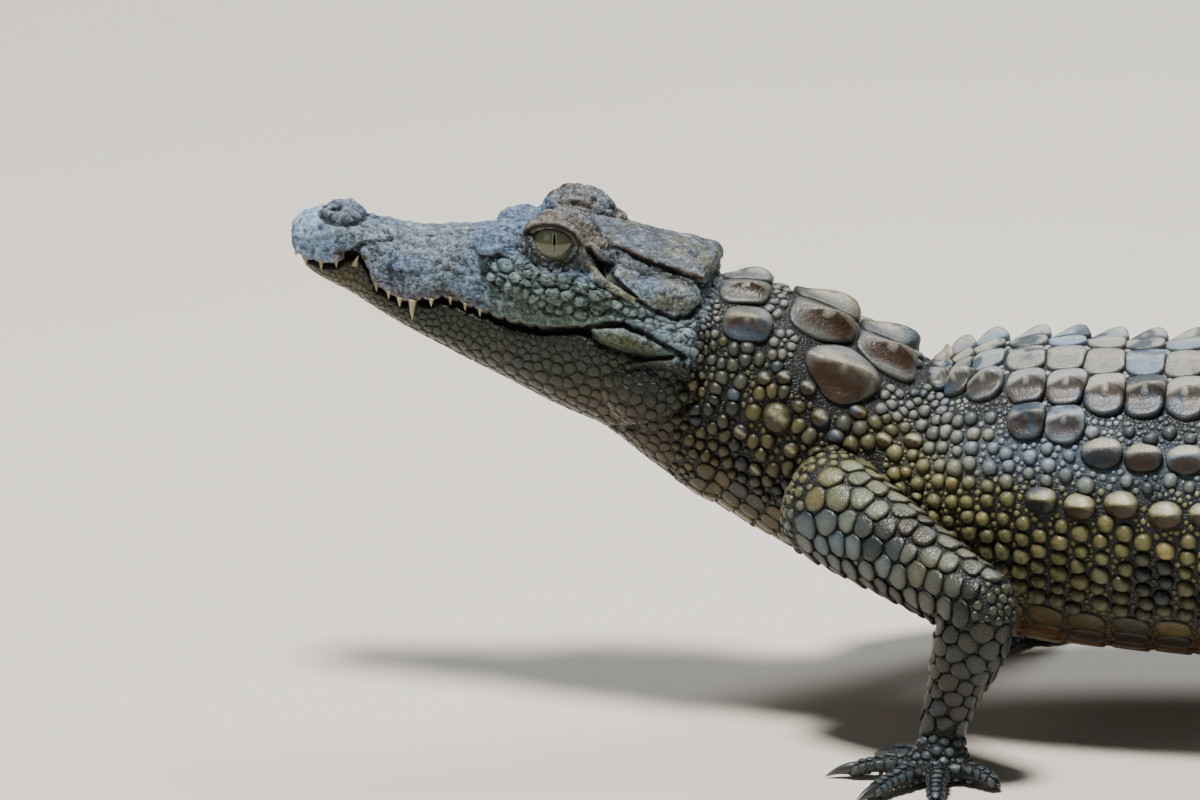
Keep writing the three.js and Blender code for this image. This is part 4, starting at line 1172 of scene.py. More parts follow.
for s, pitch in zip(row_middles[1:], row_pitch[1:]):
    pave(s, 0.675, 7.6, pitch * 0.53, 0.53, 0.75, 0.12)
for s in np.arange(22, 72, 5.2):
    pave(s, 0.7, 4.8, 2.85, 0.54, 0.6, 0)

# %% [markdown]
# ### Tail
# The tail is ringed: each ring has upright crest scutes on top, oblong keeled plates down its sides and flat
# ones beneath. Two rows of crest scutes run back from the hips and meet in a single row half way.

# %% Tail rings
TAIL_PITCH = ([264, 420, 560, 668], [10.2, 11.6, 11.8, 6.5])  # measure along, width of the ring there
tail_rings = [station_s("vent") + 0.5]
while tail_rings[-1] < SPINE_S[-1] - 4:
    tail_rings.append(tail_rings[-1] + float(np.interp(tail_rings[-1], *TAIL_PITCH)))
tail_rings = np.array(tail_rings)
tail_middles, tail_pitch = (tail_rings[:-1] + tail_rings[1:]) / 2, np.diff(tail_rings)
for s, pitch in zip(tail_middles, tail_pitch):
    girth = float(half_girth(s))
    count = max(3, round(girth / 7.2))
    step = girth / count
    for i in range(count):
        share = (i + 0.5) / count
        keel = 0.55 * (1 - share) + 0.1 if share < 0.7 else 0
        for side in (LEFT, RIGHT):
            lay_on_body(s + chance.normal(0, 0.15), side * share * girth, (pitch * 0.53, step * 0.54),
                        (min(1.1, 0.12 * pitch), keel), "oblong" if share < 0.72 else "belly", "tail_scales")
print("scales with the tail's:", len(coat.part))

# %% [markdown]
# ### Legs and feet
# A leg's scales are many-sided plates in staggered rings round each segment, larger on the upper one. Three
# files of plates run along each toe: a wide one on top and a narrow one down each side.

# %% Scales of the legs
LEG_PART = {leg: leg.replace("_", "_leg_scales_") for leg in LEGS}


def out_of(origin, direction):
    """The place where a ray from inside the flesh comes out of the skin."""
    hit = ground.ray_cast(origin, direction)
    return hit[0], hit[3]


for leg, (kind, _, _, root, bend, end, _) in LEGS.items():
    # start, end, its muscle's half sizes, pitch of the rings, width of a scale, where it starts on the unwrap
    for start, stop, halfs, pitch, wide, offset in (
            (root, bend, kind["halfs"][:3], 4.7, 6.5, 0), (bend, end, kind["halfs"][2:], 4.0, 5.3, 62)):
        a, b, along, across, up = segment_frame(start, stop)
        length = np.linalg.norm(b - a)
        ats, spreads, sizes = [], [], []
        for ring, place in enumerate(np.arange(0.08 * length, length * 1.0, pitch)):
            radius = smooth_rows(halfs, place / length * 2)[0].mean() - LEG_INSET
            count = max(6, round(2 * math.pi * radius / wide))
            for i in range(count):
                turn = (i + 0.5 * (ring % 2)) * 2 * math.pi / count + chance.normal(0, 0.07)
                ray = across * math.cos(turn) + up * math.sin(turn)
                spot = a + along * (place + chance.normal(0, 0.45))
                hit, gap = out_of(Vector(spot), Vector(ray))
                if hit is None or gap > radius * 1.45 + 1 or hit[2] < 2:
                    continue
                ats.append(hit)
                spreads.append((offset + place, (turn / math.pi - 1) * radius * math.pi))
                grow = chance.uniform(0.78, 1.2)
                sizes.append((pitch * 0.62 * grow, math.pi * radius / count * 1.12 * grow))
        ats, sizes, spreads = np.array(ats), np.array(sizes), np.array(spreads)
        clear = room_for(ats, sizes.min(1), 0.8)
        coat.lay(ats[clear], along, sizes[clear], (0.7, 0.1), "polygon", spreads[clear], LEG_PART[leg])

    for number, toe in enumerate(kind["toes"]):
        *_, outward = toe_line(leg, toe)
        r0, r1 = kind["toe_radius"]
        shares = np.arange(0.3, 0.97, 2.5 / toe[1])
        across = np.cross([0, 0, 1.0], outward)
        for share, centre in zip(shares, toe_places(leg, toe, shares)):
            radius = r0 + (r1 - r0) * share**1.3
            for turn, wide in ((0, 0.78), (-0.98, 0.52), (0.98, 0.52)):
                ray = across * math.sin(turn * 1.25) + np.array([0, 0, 1.0]) * math.cos(turn * 1.25)
                hit, gap = out_of(Vector(centre), Vector(ray))
                if hit is None or gap > radius * 1.6:
                    continue
                here = np.array(hit)
                if any(np.linalg.norm(here - old) < 1.5 for old in coat.at[-1][-9:]):
                    continue
                coat.lay(here[None], outward, (1.42, radius * wide), (0.42, 0), "polygon",
                         np.array([[96 + number * 12 + share * 10, turn * radius]]), LEG_PART[leg])
print("scales with the legs':", len(coat.part))

# %% [markdown]
# ### Granules
# What is left between the scales is filled at random. Candidates are drawn all over the skin, and one is
# kept if it is clear of every scale laid before. How large they may be depends on the place: beads of 2 to
# 4 mm on the neck, flat cells on the lower jaw, and granules of 1 to 3 mm everywhere else.

# %% Scatter the granules
seeds = np.random.default_rng(23)
corner = skin_places[skin_triangles]
areas = np.linalg.norm(np.cross(corner[:, 1] - corner[:, 0], corner[:, 2] - corner[:, 0]), axis=1) / 2


def random_places(count, near):
    """Points all over the part of the skin that near picks."""
    share = areas * near(corner.mean(1))
    pick = seeds.choice(len(areas), count, p=share / share.sum())
    u, v = np.sqrt(seeds.random(count)), seeds.random(count)
    weights = np.stack([1 - u, u * (1 - v), u * v], -1)[:, :, None]
    return (corner[pick] * weights).sum(1)


def covered(h):
    """1 where the skin carries scales, 0 where the head's bare skin begins. h is in the head's frame."""
    lip = lip_height(h[:, 0]) - 2.3
    rear = np.interp(h[:, 0], [MOUTH_CORNER - 3, -14, -8, -2, 1.2, 2.2],
                     [-21.4, -23.6, -23.4, -22.4, -20.8, -12])
    on_face = (h[:, 0] < 2.2) & (h[:, 2] > np.where(h[:, 0] < MOUTH_CORNER - 3, lip, rear))
    on_table = (h[:, 0] < 4.4) & (h[:, 2] > -8)
    return ~(on_face | on_table)


NECK_END = 74  # where the neck's scales end, along the backbone
LEG_FROM = 1.05  # further out of the body than this is leg


def measures(places):
    """Points with their measures on the body and their places in the head's frame."""
    s, w, out = body_measure(places)
    return SimpleNamespace(at=places, s=s, w=w, out=out, head=to_head(places), on_leg=out > LEG_FROM)


def touches(p, q, reach):
    return (p[0] - q[0]) ** 2 + (p[1] - q[1]) ** 2 + (p[2] - q[2]) ** 2 < reach**2


def scatter(count, near, radius_of, wanted, tight):
    """Keeps candidates that are clear of all scales and of each other. Returns places and radii."""
    places = random_places(count, near)
    spots = measures(places)
    radius = radius_of(spots)
    take = covered(spots.head) & (places[:, 2] > 0.8) & wanted(spots) & (radius > 0)
    places, radius = places[take], radius[take]
    free = room_for(places, radius, tight)
    places, radius = places[free], radius[free]
    cell = 2 * float(radius.max())
    grid, kept = {}, []
    for i, (p, r) in enumerate(zip(places.tolist(), radius.tolist())):
        x, y, z = (int(v // cell) for v in p)
        beside = (j for a, b, c in CELL_STEPS for j in grid.get((x + a, y + b, z + c), ()))
        if not any(touches(p, places[j], tight * (r + radius[j])) for j in beside):
            grid.setdefault((x, y, z), []).append(i)
            kept.append(i)
    return places[kept], radius[kept]


def part_of(p, leg_names):
    """Which piece each granule belongs to."""
    part = np.where(p.w < 0, "flank_scales_left", "flank_scales_right").astype(object)
    part[p.s < NECK_END] = "neck_scales"
    part[p.s > station_s("vent")] = "tail_scales"
    part[(np.abs(p.w) > half_girth(p.s) * 0.67) & (p.s > 20) & (p.s < station_s("vent"))] = "belly_scales"
    for leg, name in LEG_PART.items():
        part[p.on_leg & (leg_names == leg)] = name
    part[p.head[:, 0] < 4.2] = "jaw_scales"
    return part


def lay_granules(places, radius, kind, flatness):
    p = measures(places)
    segments = [SEGMENTS[i] for i in nearest_segment(places)]
    part = part_of(p, np.array([leg for leg, _, _ in segments]))
    _, tailwards, _, _, _ = spine(np.interp(p.s, SPINE_S, SPINE_T))
    along = unit(np.array([b - a for _, a, b in segments]))
    lie = np.where(p.on_leg[:, None], along, tailwards)
    shape = seeds.uniform(0.86, 1.12, len(places))
    size, rise = np.stack([radius * shape, radius / shape], -1), np.stack([radius * flatness, radius * 0], -1)
    coat.lay(places, lie, size, rise, kind, np.stack([p.s, p.w], -1), part)
    return len(places)


def neck_radius(p):
    """Beads of the neck: largest on its side, smaller on top and behind the jaw."""
    sideways = dab(np.abs(p.w) - 42, 30)
    r = 1.1 + 0.8 * sideways + 0.3 * grain(p.at, 6, 31)
    return np.clip(r - 0.45 * fade(p.head[:, 0], 15, 6), 0.75, 2.2)


def jaw_radius(p):
    """Flat cells of the lower jaw, finer towards the lips and the chin."""
    lip = lip_height(p.head[:, 0])
    return 0.95 + 0.55 * fade(p.head[:, 2], lip - 4, lip - 13) - 0.25 * fade(p.head[:, 0], -55, -90)


def gap_radius(p):
    """Granules in the gaps: fine on the flanks, a little larger on legs and feet."""
    return np.where(p.on_leg, 1.25, 0.78) + 0.14 * grain(p.at, 4, 33)


def fine_radius(p):
    return gap_radius(p) * 0.66


def on_neck(p):
    return (p.s < NECK_END) & (p.head[:, 0] > 1.5) & (p.out < 1.08)


def on_jaw(p):
    return p.head[:, 0] <= 1.5


def anywhere(p):
    return np.ones(len(p.s), bool)


def jaw_side(points):
    return to_head(points)[:, 0] < 4.5


def elsewhere(points):
    return to_head(points)[:, 0] > 1.0


def neck_side(points):
    return elsewhere(points) & (points[:, 0] < 100)


SCATTERS = [  # candidates, where they are drawn, radius, which are wanted, how close, kind, height to radius
    (14000, neck_side, neck_radius, on_neck, 0.86, "bead", 0.8),
    (30000, jaw_side, jaw_radius, on_jaw, 0.82, "cell", 0.2),
    (90000, elsewhere, gap_radius, anywhere, 0.98, "granule", 0.6),
    (60000, elsewhere, fine_radius, anywhere, 0.96, "granule", 0.55),
]
for *how, kind, flatness in SCATTERS:
    print(kind, "laid:", lay_granules(*scatter(*how), kind, flatness))
print("scales in all:", len(coat.part))

# %% [markdown]
# ## The shape of a scale
# A scale's outline comes from its neighbours. Between two of them runs a seam, nearer to the smaller one,
# and the outline follows the nearest seam all round, but never goes beyond the scale's own oval. So crowded
# scales are many-sided and lonely ones are round, as they are when skin grows.
# Its relief is a set of rings inside that outline: sunk a little at the rim, steep at the shoulder and domed
# above. A keel is added along the middle of a plate, steeper towards the belly.


# %% Outlines from the neighbours
FAR = 99.0  # millimetres: no neighbour that way


def oval_radius(along, beside, halfs):
    return 1 / np.sqrt((along / halfs[0]) ** 2 + (beside / halfs[1]) ** 2)


def outlines(at, lie, beside, size, corners, seam, square, others, tree):
    """Radius of each scale's outline in each of its corner directions, counted from the direction of lie."""
    turns = np.arange(corners) * 2 * math.pi / corners
    ways = np.stack([np.cos(turns), np.sin(turns)], -1)
    oval = ((np.abs(ways[:, 0]) / size[:, :1]) ** square + (np.abs(ways[:, 1]) / size[:, 1:]) ** square)
    oval = oval ** (-1 / square)
    bound = np.full_like(oval, FAR)
    for i, p in enumerate(at.tolist()):
        index = [j for _, j, gap in tree.find_range(p, size[i].max() * 2 + 1.8) if gap > 1e-4]
        if not index:
            continue
        step = everyone["at"][index] - at[i]
        flat = np.stack([step @ lie[i], step @ beside[i]], -1)
        gap = np.maximum(np.linalg.norm(flat, axis=1), 1e-6)
        way = flat / gap[:, None]
        mine = oval_radius(way[:, 0], way[:, 1], size[i])
        theirs = oval_radius(way[:, 0], way[:, 1], others[index].T)
        seam_at = gap * mine / (mine + theirs)
        facing = ways @ way.T
        bound[i] = np.where(facing > 0.05, seam_at / np.maximum(facing, 0.05), FAR).min(1)
    radius = (oval**-10 + bound**-10) ** -0.1
    radius = 0.6 * radius + 0.2 * (np.roll(radius, 1, 1) + np.roll(radius, -1, 1))
    return np.maximum(radius - seam, radius * 0.6), ways


# Sizes in millimetres, shares of the scale's own size, and rings: share of the outline, share of the height.
# The first ring is the rim, sunk into the skin.
SHAPES = {
    "plate": dict(corners=28, seam=0.03, square=5, sink=0.5, keel_width=0.22, tilt=0.38, rings=[
        (1.0, -1), (0.992, 0.42), (0.965, 0.78), (0.91, 0.92), (0.76, 0.97), (0.5, 1), (0.24, 1)]),
    "shield": dict(corners=32, seam=0.03, square=6, sink=0.5, keel_width=0.3, tilt=0.3, rings=[
        (1.0, -1), (0.99, 0.35), (0.96, 0.7), (0.89, 0.86), (0.7, 0.92), (0.46, 0.97), (0.22, 1)]),
    "oval": dict(corners=22, seam=0.09, square=2.4, sink=0.5, keel_width=0.3, tilt=0.2, rings=[
        (1.0, -1), (0.985, 0.25), (0.92, 0.52), (0.78, 0.76), (0.58, 0.91), (0.35, 0.98), (0.16, 1)]),
    "oblong": dict(corners=16, seam=0.08, square=5, sink=0.4, keel_width=0.25, tilt=0.3, rings=[
        (1.0, -1), (0.97, 0.55), (0.9, 0.85), (0.65, 0.95), (0.3, 1)]),
    "belly": dict(corners=16, seam=0.08, square=6, sink=0.35, keel_width=0.25, tilt=0.3, rings=[
        (1.0, -1), (0.97, 0.6), (0.9, 0.92), (0.5, 1)]),
    "tubercle": dict(corners=16, seam=0.1, square=2.3, sink=0.4, keel_width=0.4, tilt=0.15, rings=[
        (1.0, -1), (0.97, 0.3), (0.84, 0.66), (0.6, 0.89), (0.3, 0.98)]),
    "bead": dict(corners=12, seam=0.07, square=2.4, sink=0.35, keel_width=0.4, tilt=0.12, rings=[
        (1.0, -1), (0.96, 0.28), (0.82, 0.62), (0.5, 0.93)]),
    "polygon": dict(corners=16, seam=-0.05, square=6, sink=0.3, keel_width=0.35, tilt=0.7, rings=[
        (1.0, -1), (0.985, 0.4), (0.95, 0.78), (0.7, 0.97)]),
    "cell": dict(corners=10, seam=0.04, square=3, sink=0.2, keel_width=0.4, tilt=0.1, rings=[
        (1.0, -1), (0.9, 0.7), (0.55, 1)]),
    "granule": dict(corners=8, seam=0.05, square=2.4, sink=0.25, keel_width=0.4, tilt=0.1, rings=[
        (1.0, -1), (0.86, 0.55), (0.5, 0.92)]),
}
everyone = {name: coat.column(name) for name in ("at", "lie", "size", "rise", "spread")}
kinds, parts = coat.column("kind"), coat.column("part")
LARGE = ("plate", "shield", "oval", "tubercle")  # these keep their own room against beads and granules
# Scales that fill the ground between others get more room than they can take: their neighbours stop them.
GROW = {"bead": 1.16, "cell": 1.5, "granule": 1.2, "polygon": 1.3, "belly": 1.04, "oblong": 1.06}
everyone["own"] = everyone["size"].copy()
everyone["size"] = everyone["size"] * np.array([GROW.get(kind, 1.0) for kind in kinds])[:, None]
crowded = (parts == "neck_scales") & (kinds == "bead")
everyone["size"][crowded] *= 1.25
everyone["at"], everyone["normal"] = on_skin(everyone["at"])
lie = everyone["lie"] - (everyone["lie"] * everyone["normal"]).sum(1)[:, None] * everyone["normal"]
everyone["lie"] = unit(lie)
# Beads and granules inside a nape plate's squarish outline make way for it.
stays = np.ones(len(kinds), bool)
for i in np.nonzero(kinds == "shield")[0]:
    step = everyone["at"] - everyone["at"][i]
    long = np.abs(step @ everyone["lie"][i]) / everyone["own"][i, 0]
    wide = np.abs(step @ np.cross(everyone["normal"][i], everyone["lie"][i])) / everyone["own"][i, 1]
    small = ~np.isin(kinds, LARGE) & (np.linalg.norm(step, axis=1) < 20)
    stays &= ~(small & (long**5 + wide**5 < 1.09**5))
everyone = {name: values[stays] for name, values in everyone.items()}
kinds, parts = kinds[stays], parts[stays]
all_scales = tree_of(everyone["at"])


# %% Relief of the scales
def shape_scales(which, kind):
    """Every scale of one kind among those picked: points, quads, caps, ring shares, places within the scale
    and which scale each point belongs to."""
    shape = SHAPES[kind]
    at, normal, lie, size, rise = (everyone[k][which] for k in ("at", "normal", "lie", "size", "rise"))
    beside = np.cross(normal, lie)
    corners = shape["corners"]
    radius, ways = outlines(at, lie, beside, size, corners, shape["seam"], shape["square"],
                            everyone["own" if kind in LARGE else "size"], all_scales)
    n = len(at)
    outer = np.sign(everyone["spread"][which, 1])[:, None]
    rim_flat = radius[:, :, None] * ways[None]
    rim = at[:, None] + rim_flat[..., :1] * lie[:, None] + rim_flat[..., 1:] * beside[:, None]
    rim_at, rim_normal = on_skin(rim.reshape(-1, 3))
    rim_at, rim_normal = rim_at.reshape(n, corners, 3), rim_normal.reshape(n, corners, 3)
    rows, shares = [], []
    for share, height in shape["rings"]:
        centre = at[:, None]
        place = centre + (rim_at - centre) * share
        turn = unit(normal[:, None] * (1 - share) + rim_normal * share)
        if height < 0:
            lift = np.full((n, corners), -shape["sink"])
        else:
            along = rim_flat[..., 0] * share / size[:, :1]
            side = rim_flat[..., 1] * share / size[:, 1:]
            # A keel is steeper on the belly's side.
            steep = np.where(side * outer > 0, 0.62, 1.35) * shape["keel_width"]
            ridge = np.exp(-np.abs(side / steep) ** 1.25) * (0.25 + 0.75 * fade(along, -0.9, 0.3))
            ridge = ridge * (1 - 0.75 * fade(along, 0.5, 1.0))
            lift = rise[:, :1] * (height + shape["tilt"] * along) + rise[:, 1:] * ridge
        rows.append(place + turn * lift[..., None])
        shares.append(np.full((n, corners), share))
    top = at + normal * (rise[:, :1] + rise[:, 1:] * 0.87)
    places = np.concatenate([np.stack(rows, 1).reshape(n, -1, 3), top[:, None]], 1)
    shares = np.concatenate([np.stack(shares, 1).reshape(n, -1), np.zeros((n, 1))], 1)
    rings, per = len(rows), len(rows) * corners + 1
    k, after = np.arange(corners), (np.arange(corners) + 1) % corners
    ring = np.arange(rings - 1)[:, None] * corners
    quads = np.stack([ring + k, ring + after, ring + corners + after, ring + corners + k], -1).reshape(-1, 4)
    last = (rings - 1) * corners
    caps = np.stack([last + k, last + after, np.full(corners, per - 1)], -1)
    start = np.arange(n)[:, None, None] * per
    local = np.stack([rim_flat * share for share, _ in shape["rings"]], 1).reshape(n, -1, 2)
    local = np.concatenate([local, np.zeros((n, 1, 2))], 1) / size.max(1)[:, None, None]
    owner = np.repeat(which, per)
    return (places.reshape(-1, 3), (quads + start).reshape(-1, 4), (caps + start).reshape(-1, 3),
            shares.ravel(), local.reshape(-1, 2), owner)


def join_parts(made):
    """Several sets of scales as one, with the corner numbers of each moved on by those before it."""
    starts = np.r_[0, np.cumsum([len(scales[0]) for scales in made])]
    moved = [(p, quads + start, caps + start, *rest) for (p, quads, caps, *rest), start in zip(made, starts)]
    return tuple(np.concatenate(column) for column in zip(*moved))


coat_meshes = {}
for part in sorted(set(parts)):
    picked = [(np.nonzero((parts == part) & (kinds == kind))[0], kind) for kind in SHAPES]
    coat_meshes[part] = join_parts([shape_scales(which, kind) for which, kind in picked if len(which)])
    quads, caps = coat_meshes[part][1:3]
    print(part, "scales:", int((parts == part).sum()), "triangles:", 2 * len(quads) + len(caps))

# %% [markdown]
# ## Markings
# The animal's colours are one set of rules, read for the bare skin and for every scale alike. Each rule
# mixes two colours by where a point is: bluer on the head and flanks, browner on the back, ochre beneath.
# Some rules paint shade: the belly, the lower flanks and legs, the lower jaw and the head's grooves are
# darker than their own colours.
# The colours are given as they would be picked on a screen, and one function turns them to linear light.


# %% Colours
def colour(code):
    """A six-figure sRGB colour as three linear values."""
    value = np.array([int(code[i:i + 2], 16) for i in (0, 2, 4)]) / 255
    return np.where(value <= 0.04045, value / 12.92, ((value + 0.055) / 1.055) ** 2.4)


def blend(a, b, share):
    share = np.asarray(share, float)[:, None]
    return a * (1 - share) + b * share


def plain(code, n):
    """n rows of one colour."""
    return np.tile(colour(code), (n, 1))


def layered(tone, *layers):
    """The tone with one colour after another laid over it, each by its share."""
    for over, share in layers:
        tone = blend(tone, colour(over) if isinstance(over, str) else over, share)
    return tone


def body_marking(points, s, w, out, between):
    """Colours of the body, tail and legs. between is 1 for the skin between scales, 0 on a scale."""
    n, high = len(points), points[:, 2]
    round_share = np.abs(w) / half_girth(s)
    on_leg, on_back = fade(out, 1.03, 1.12), fade(round_share, 0.31, 0.27)
    neck, under, tail = fade(s, 80, 60), fade(round_share, 0.64, 0.75), fade(s, 236, 285)
    patchy = grain(points * [1, 1.3, 1.3], 15, 41) + 0.5 * grain(points, 6, 42)
    fine = grain(points, 3.2, 48)
    blue_lane = dab(round_share - 0.34, 0.09)
    shoulder = dab(s - 70, 26) * (1 - on_leg) * fade(round_share, 0.25, 0.38)
    neck_tone = layered(
        plain("363a30", n), ("4b482a", fade(fine, -0.4, 0.7)),
        ("3a4346", fade(grain(points, 7, 49), -0.2, 0.5) * 0.8),
        ("665e36", fade(round_share, 0.3, 0.55) * 0.7))
    tone = layered(
        plain("6f6c47", n), ("8a845b", fade(fine, 0.0, 0.7)), ("7788a0", blue_lane * 0.8),
        ("9c9d98", on_back),
        ("8090a2", on_back * fade(grain(points, 9, 44), -0.2, 0.4) * 0.85), (neck_tone, neck),
        # The belly's dark ochre: partly its own ochre, partly painted shade beneath the body.
        ("73726e", on_back * neck * 0.8), ("837f56", shoulder * 0.8), ("523605", under * (1 - 0.4 * neck)),
        ("84693a", fade(round_share, 0.86, 1.0) * 0.6))
    # Painted shade: the flank darkens where it turns under towards the belly.
    tone = tone * (1 - 0.6 * dab(round_share - 0.64, 0.22) * (1 - on_leg))[:, None]
    band = np.sin(s * 2 * math.pi / 34 + 1.3 * grain(points, 22, 45))
    banded = fade(band, 0.2, 0.7) * fade(s, 150, 290) * fade(round_share, 0.95, 0.6)
    column = dab(np.mod(s / ROW_PITCH + 0.5 * grain(points, 20, 47), 2) - 1, 0.8)
    low = dab(round_share - 0.66, 0.16)
    dark = fade(patchy + 0.2 * neck, 0.34, 0.62) * fade(round_share, 0.9, 0.7)
    dark_tone = layered(plain("333d48", n), ("1b2127", fade(round_share, 0.35, 0.5)))
    leg_tone = layered(
        plain("57594a", n), ("525c60", fade(grain(points, 14, 46), -0.4, 0.5)),
        ("121a23", fade(grain(points, 10, 50) + 0.35 * fine, 0.08, 0.4) * 0.85),
        # Painted shade: the lower legs are darkened from 16 to 40 mm above the floor, fading out below and
        # above.
        ("1d1e17", fade(high, 54, 40) * fade(high, 8, 16) * 0.85), ("434c52", fade(high, 16, 8) * 0.75),
        ("6f6c4a", fade(high, 56, 70) * (s < 110) * 0.75))
    tone = layered(
        tone, ("7c7760", tail * (1 - under) * 0.9), ("2f3130", banded * 0.8 * (0.35 + 0.65 * tail)),
        ("23282b", low * column * fade(patchy, -0.5, 0.2) * 0.85 * (1 - neck)), (dark_tone, dark * 0.85),
        (leg_tone, on_leg))
    seam = layered(
        plain("1b1f20", n), ("2b2414", under), ("37424d", blue_lane * (1 - neck)), ("111312", 0.85 * neck),
        ("45432a", 0.75 * shoulder), ("141718", on_leg))
    return blend(tone, seam, between)


# Painted shade along the groove of each fold line, by its strength.
FOLD_SHADES = [  # line, strength of the dark in it
    (CHEEK_FOLD, 0.95), (PAD_LOW, 0.85), (TEMPLE, 0.85), (JAW_EDGE, 0.75), (FLAP_LOW, 0.5),
    (TABLE_RIDGE, 0.4), (TEMPLE_TOP, 0.6), (BAR_FOLD, 0.7), (NOTCH, 0.5),
]


def head_marking(h, between):
    """Colours of the head, from points in the head's frame."""
    x, y, z = h[:, 0], np.abs(h[:, 1]), h[:, 2]
    n, flat = len(h), h[:, [0, 2]]
    below = z - lip_height(x)
    skull, behind_corner = fade(below, 0.0, 1.5), fade(x, MOUTH_CORNER, MOUTH_CORNER - 3)
    table = fade(x, -33, -26) * fade(z, -5.5, -3.0)
    cheek = fade(x + 3 * grain(h, 5, 66), -60, -43) * fade(z, -6, -9) * fade(x, 2, -4)
    lip = fade(below, 4.2, 0.8) * fade(x, MOUTH_CORNER + 2, MOUTH_CORNER - 4) * fade(x, -90, -84)
    jaw = fade(below, -0.2, -1.4) * np.where(x < MOUTH_CORNER, 1, fade(z, -19, -22))
    # The lower jaw's own tones, darkened overall and turning dark brown towards its underside as painted shade.
    jaw_tone = 0.78 * layered(
        plain("262f20", n), ("222c27", fade(grain(h, 8, 53), -0.2, 0.5)),
        ("383a20", fade(grain(h, 5, 59), 0.1, 0.6) * 0.6), ("38290b", fade(below, -9, -22) * 0.85),
        ("625a35", fade(x, -66, -92) * 0.6))
    brow = dab(np.hypot((x + 36.5) / 1.2, (z - 3.2) * 1.5), 8.0) * fade(z, -2, 1.0)
    lid_front = dab(np.hypot(x + 42.5, z - 1.6), 3.4) * fade(y, 11, 14)
    behind_eye = dab(np.hypot(x + 28.8, z - 0.6), 4.8) * fade(y, 9, 12)
    slit, along = line_gap(flat, EAR)
    slit_half = np.interp(along, np.linspace(0, 1, 5), EAR_HALF)
    temple = dab(np.hypot((x + 5.5) / 7.5, (z + 7.1) / 3.9), 1.2) * fade(y, 12, 15)
    pad = dab(np.hypot((x + 13.2) / 11.5, (z + 18.9) / 3.5), 1.15) * fade(y, 15, 18)
    # Painted shade in the head's fold grooves.
    fold_shades = [("191512", dab(line_gap(flat, fold)[0], 0.8) * fade(y, 6, 12) * strength)
             for fold, strength in FOLD_SHADES]
    disc = np.sqrt(((x + 91.2) / 4.9) ** 2 + ((y - 2.6) / 4.5) ** 2)
    top = fade(z, -14, -11.5)
    # Painted shade: near black in the mouth's groove under the upper lip, and a shaded band below the lip where
    # it overhangs.
    mouth = dab(below + 0.75, 1.15) * behind_corner
    shade = fade(below, -5.5, -1.6) * fade(below, 0.0, -0.6) * behind_corner
    _, eye_flat, _, near, gap = eye_measure(mirrored(h, np.sign(h[:, 1])))
    over = near * fade(eye_flat[:, 1], -0.5, 1.0)
    fleck = grain(h, 0.9, 54) + 0.6 * grain(h, 2.0, 55)
    spot = grain(h, 1.7, 56) + 0.3 * grain(h, 5, 60)
    nostril = fade(np.hypot((x + 93.0) / 1.5, (y - 4.4) / 1.3), 1.25, 0.85) * fade(z, -15.5, -13.5)
    tone = layered(
        plain("5c7189", n), ("6b767c", fade(grain(h, 9, 51), -0.1, 0.6) * 0.7),
        ("8fa9c6", fade(x, -93, -99) * fade(z, -19, -15.5) * 0.9), ("515356", table * 0.85),
        ("6c6b52", fade(grain(h, 4.5, 52), 0.1, 0.5) * table * 0.6),
        ("4d5e70", fade(grain(h, 5, 58), 0.2, 0.5) * table * 0.6), ("4f6055", cheek * 0.85),
        ("64757f", fade(x, -22, -12) * fade(z, -8, -11) * 0.8 * skull),
        ("655c62", lip * 0.7 * fade(x, -46, -58)),
        ("4b4334", fade(below, 1.3, -0.4) * (x < MOUTH_CORNER - 2) * 0.7), (jaw_tone, jaw),
        ("796c60", brow * 0.8), ("6d5136", lid_front * 0.8), ("5c4a38", behind_eye * 0.85),
        ("66603e", dab(line_gap(flat, EAR_FLAP)[0], 1.5) * fade(y, 12, 14) * 0.8),
        # Painted shade: the ear's slit is black inside.
        ("040404", np.clip(1.6 - 1.6 * slit / slit_half, 0, 1) * fade(y, 12, 14)),
        ("4f3a26", dab(line_gap(flat, TABLE_RIDGE + [0, 0.7])[0], 1.3) * fade(y, 7, 10) * 0.9),
        ("625f4f", temple * 0.85), ("3b3f22", pad * 0.9), *fold_shades,
        ("4a4f56", fade(disc, 1.15, 1.0) * top * 0.5),
        # Painted shade in the groove round the nostrils' mound.
        ("1e2023", dab((disc - 1.12) * 5, 0.9) * top * 0.8),
        ("4a3826", dab(line_gap(flat, LIP_PIT - [0, 0.4])[0], 2.6) * fade(y, 5, 8) * 0.8),
        ("0e0b09", mouth * between * 0.95), ("12150f", shade * 0.75),
        ("6d6357", over * fade(gap, 6.5, 4.0) * 0.8),
        ("373a30", near * (1 - over) * fade(gap, 3.2, 1.6) * 0.8),
        ("272e35", fade(fleck, 0.1, 0.75) * 0.65 * skull),
        ("a3b1ba", fade(-fleck, 0.35, 0.85) * 0.42 * skull),
        ("20262d", fade(spot, 0.5, 0.75) * 0.85 * skull),
        # Painted shade: a dark line where the lids meet the eyeball, and black in the nostril's hole.
        ("0d0b09", near * fade(np.abs(gap - 0.1), 0.65, 0.35)), ("020202", nostril))
    seam = layered(tone * 0.72, ("0f110f", 0.22 * jaw))
    return blend(tone, seam, between * np.maximum(jaw, fade(x, -1, 3)))


def marking(points, between):
    """The animal's colours at points in drawn millimetres."""
    h = to_head(points)
    s, w, out = body_measure(points)
    between = np.broadcast_to(np.asarray(between, float), len(points))
    head_share = fade(h[:, 0], 4.5, 1.5)
    return blend(body_marking(points, s, w, out, between), head_marking(h, between), head_share)


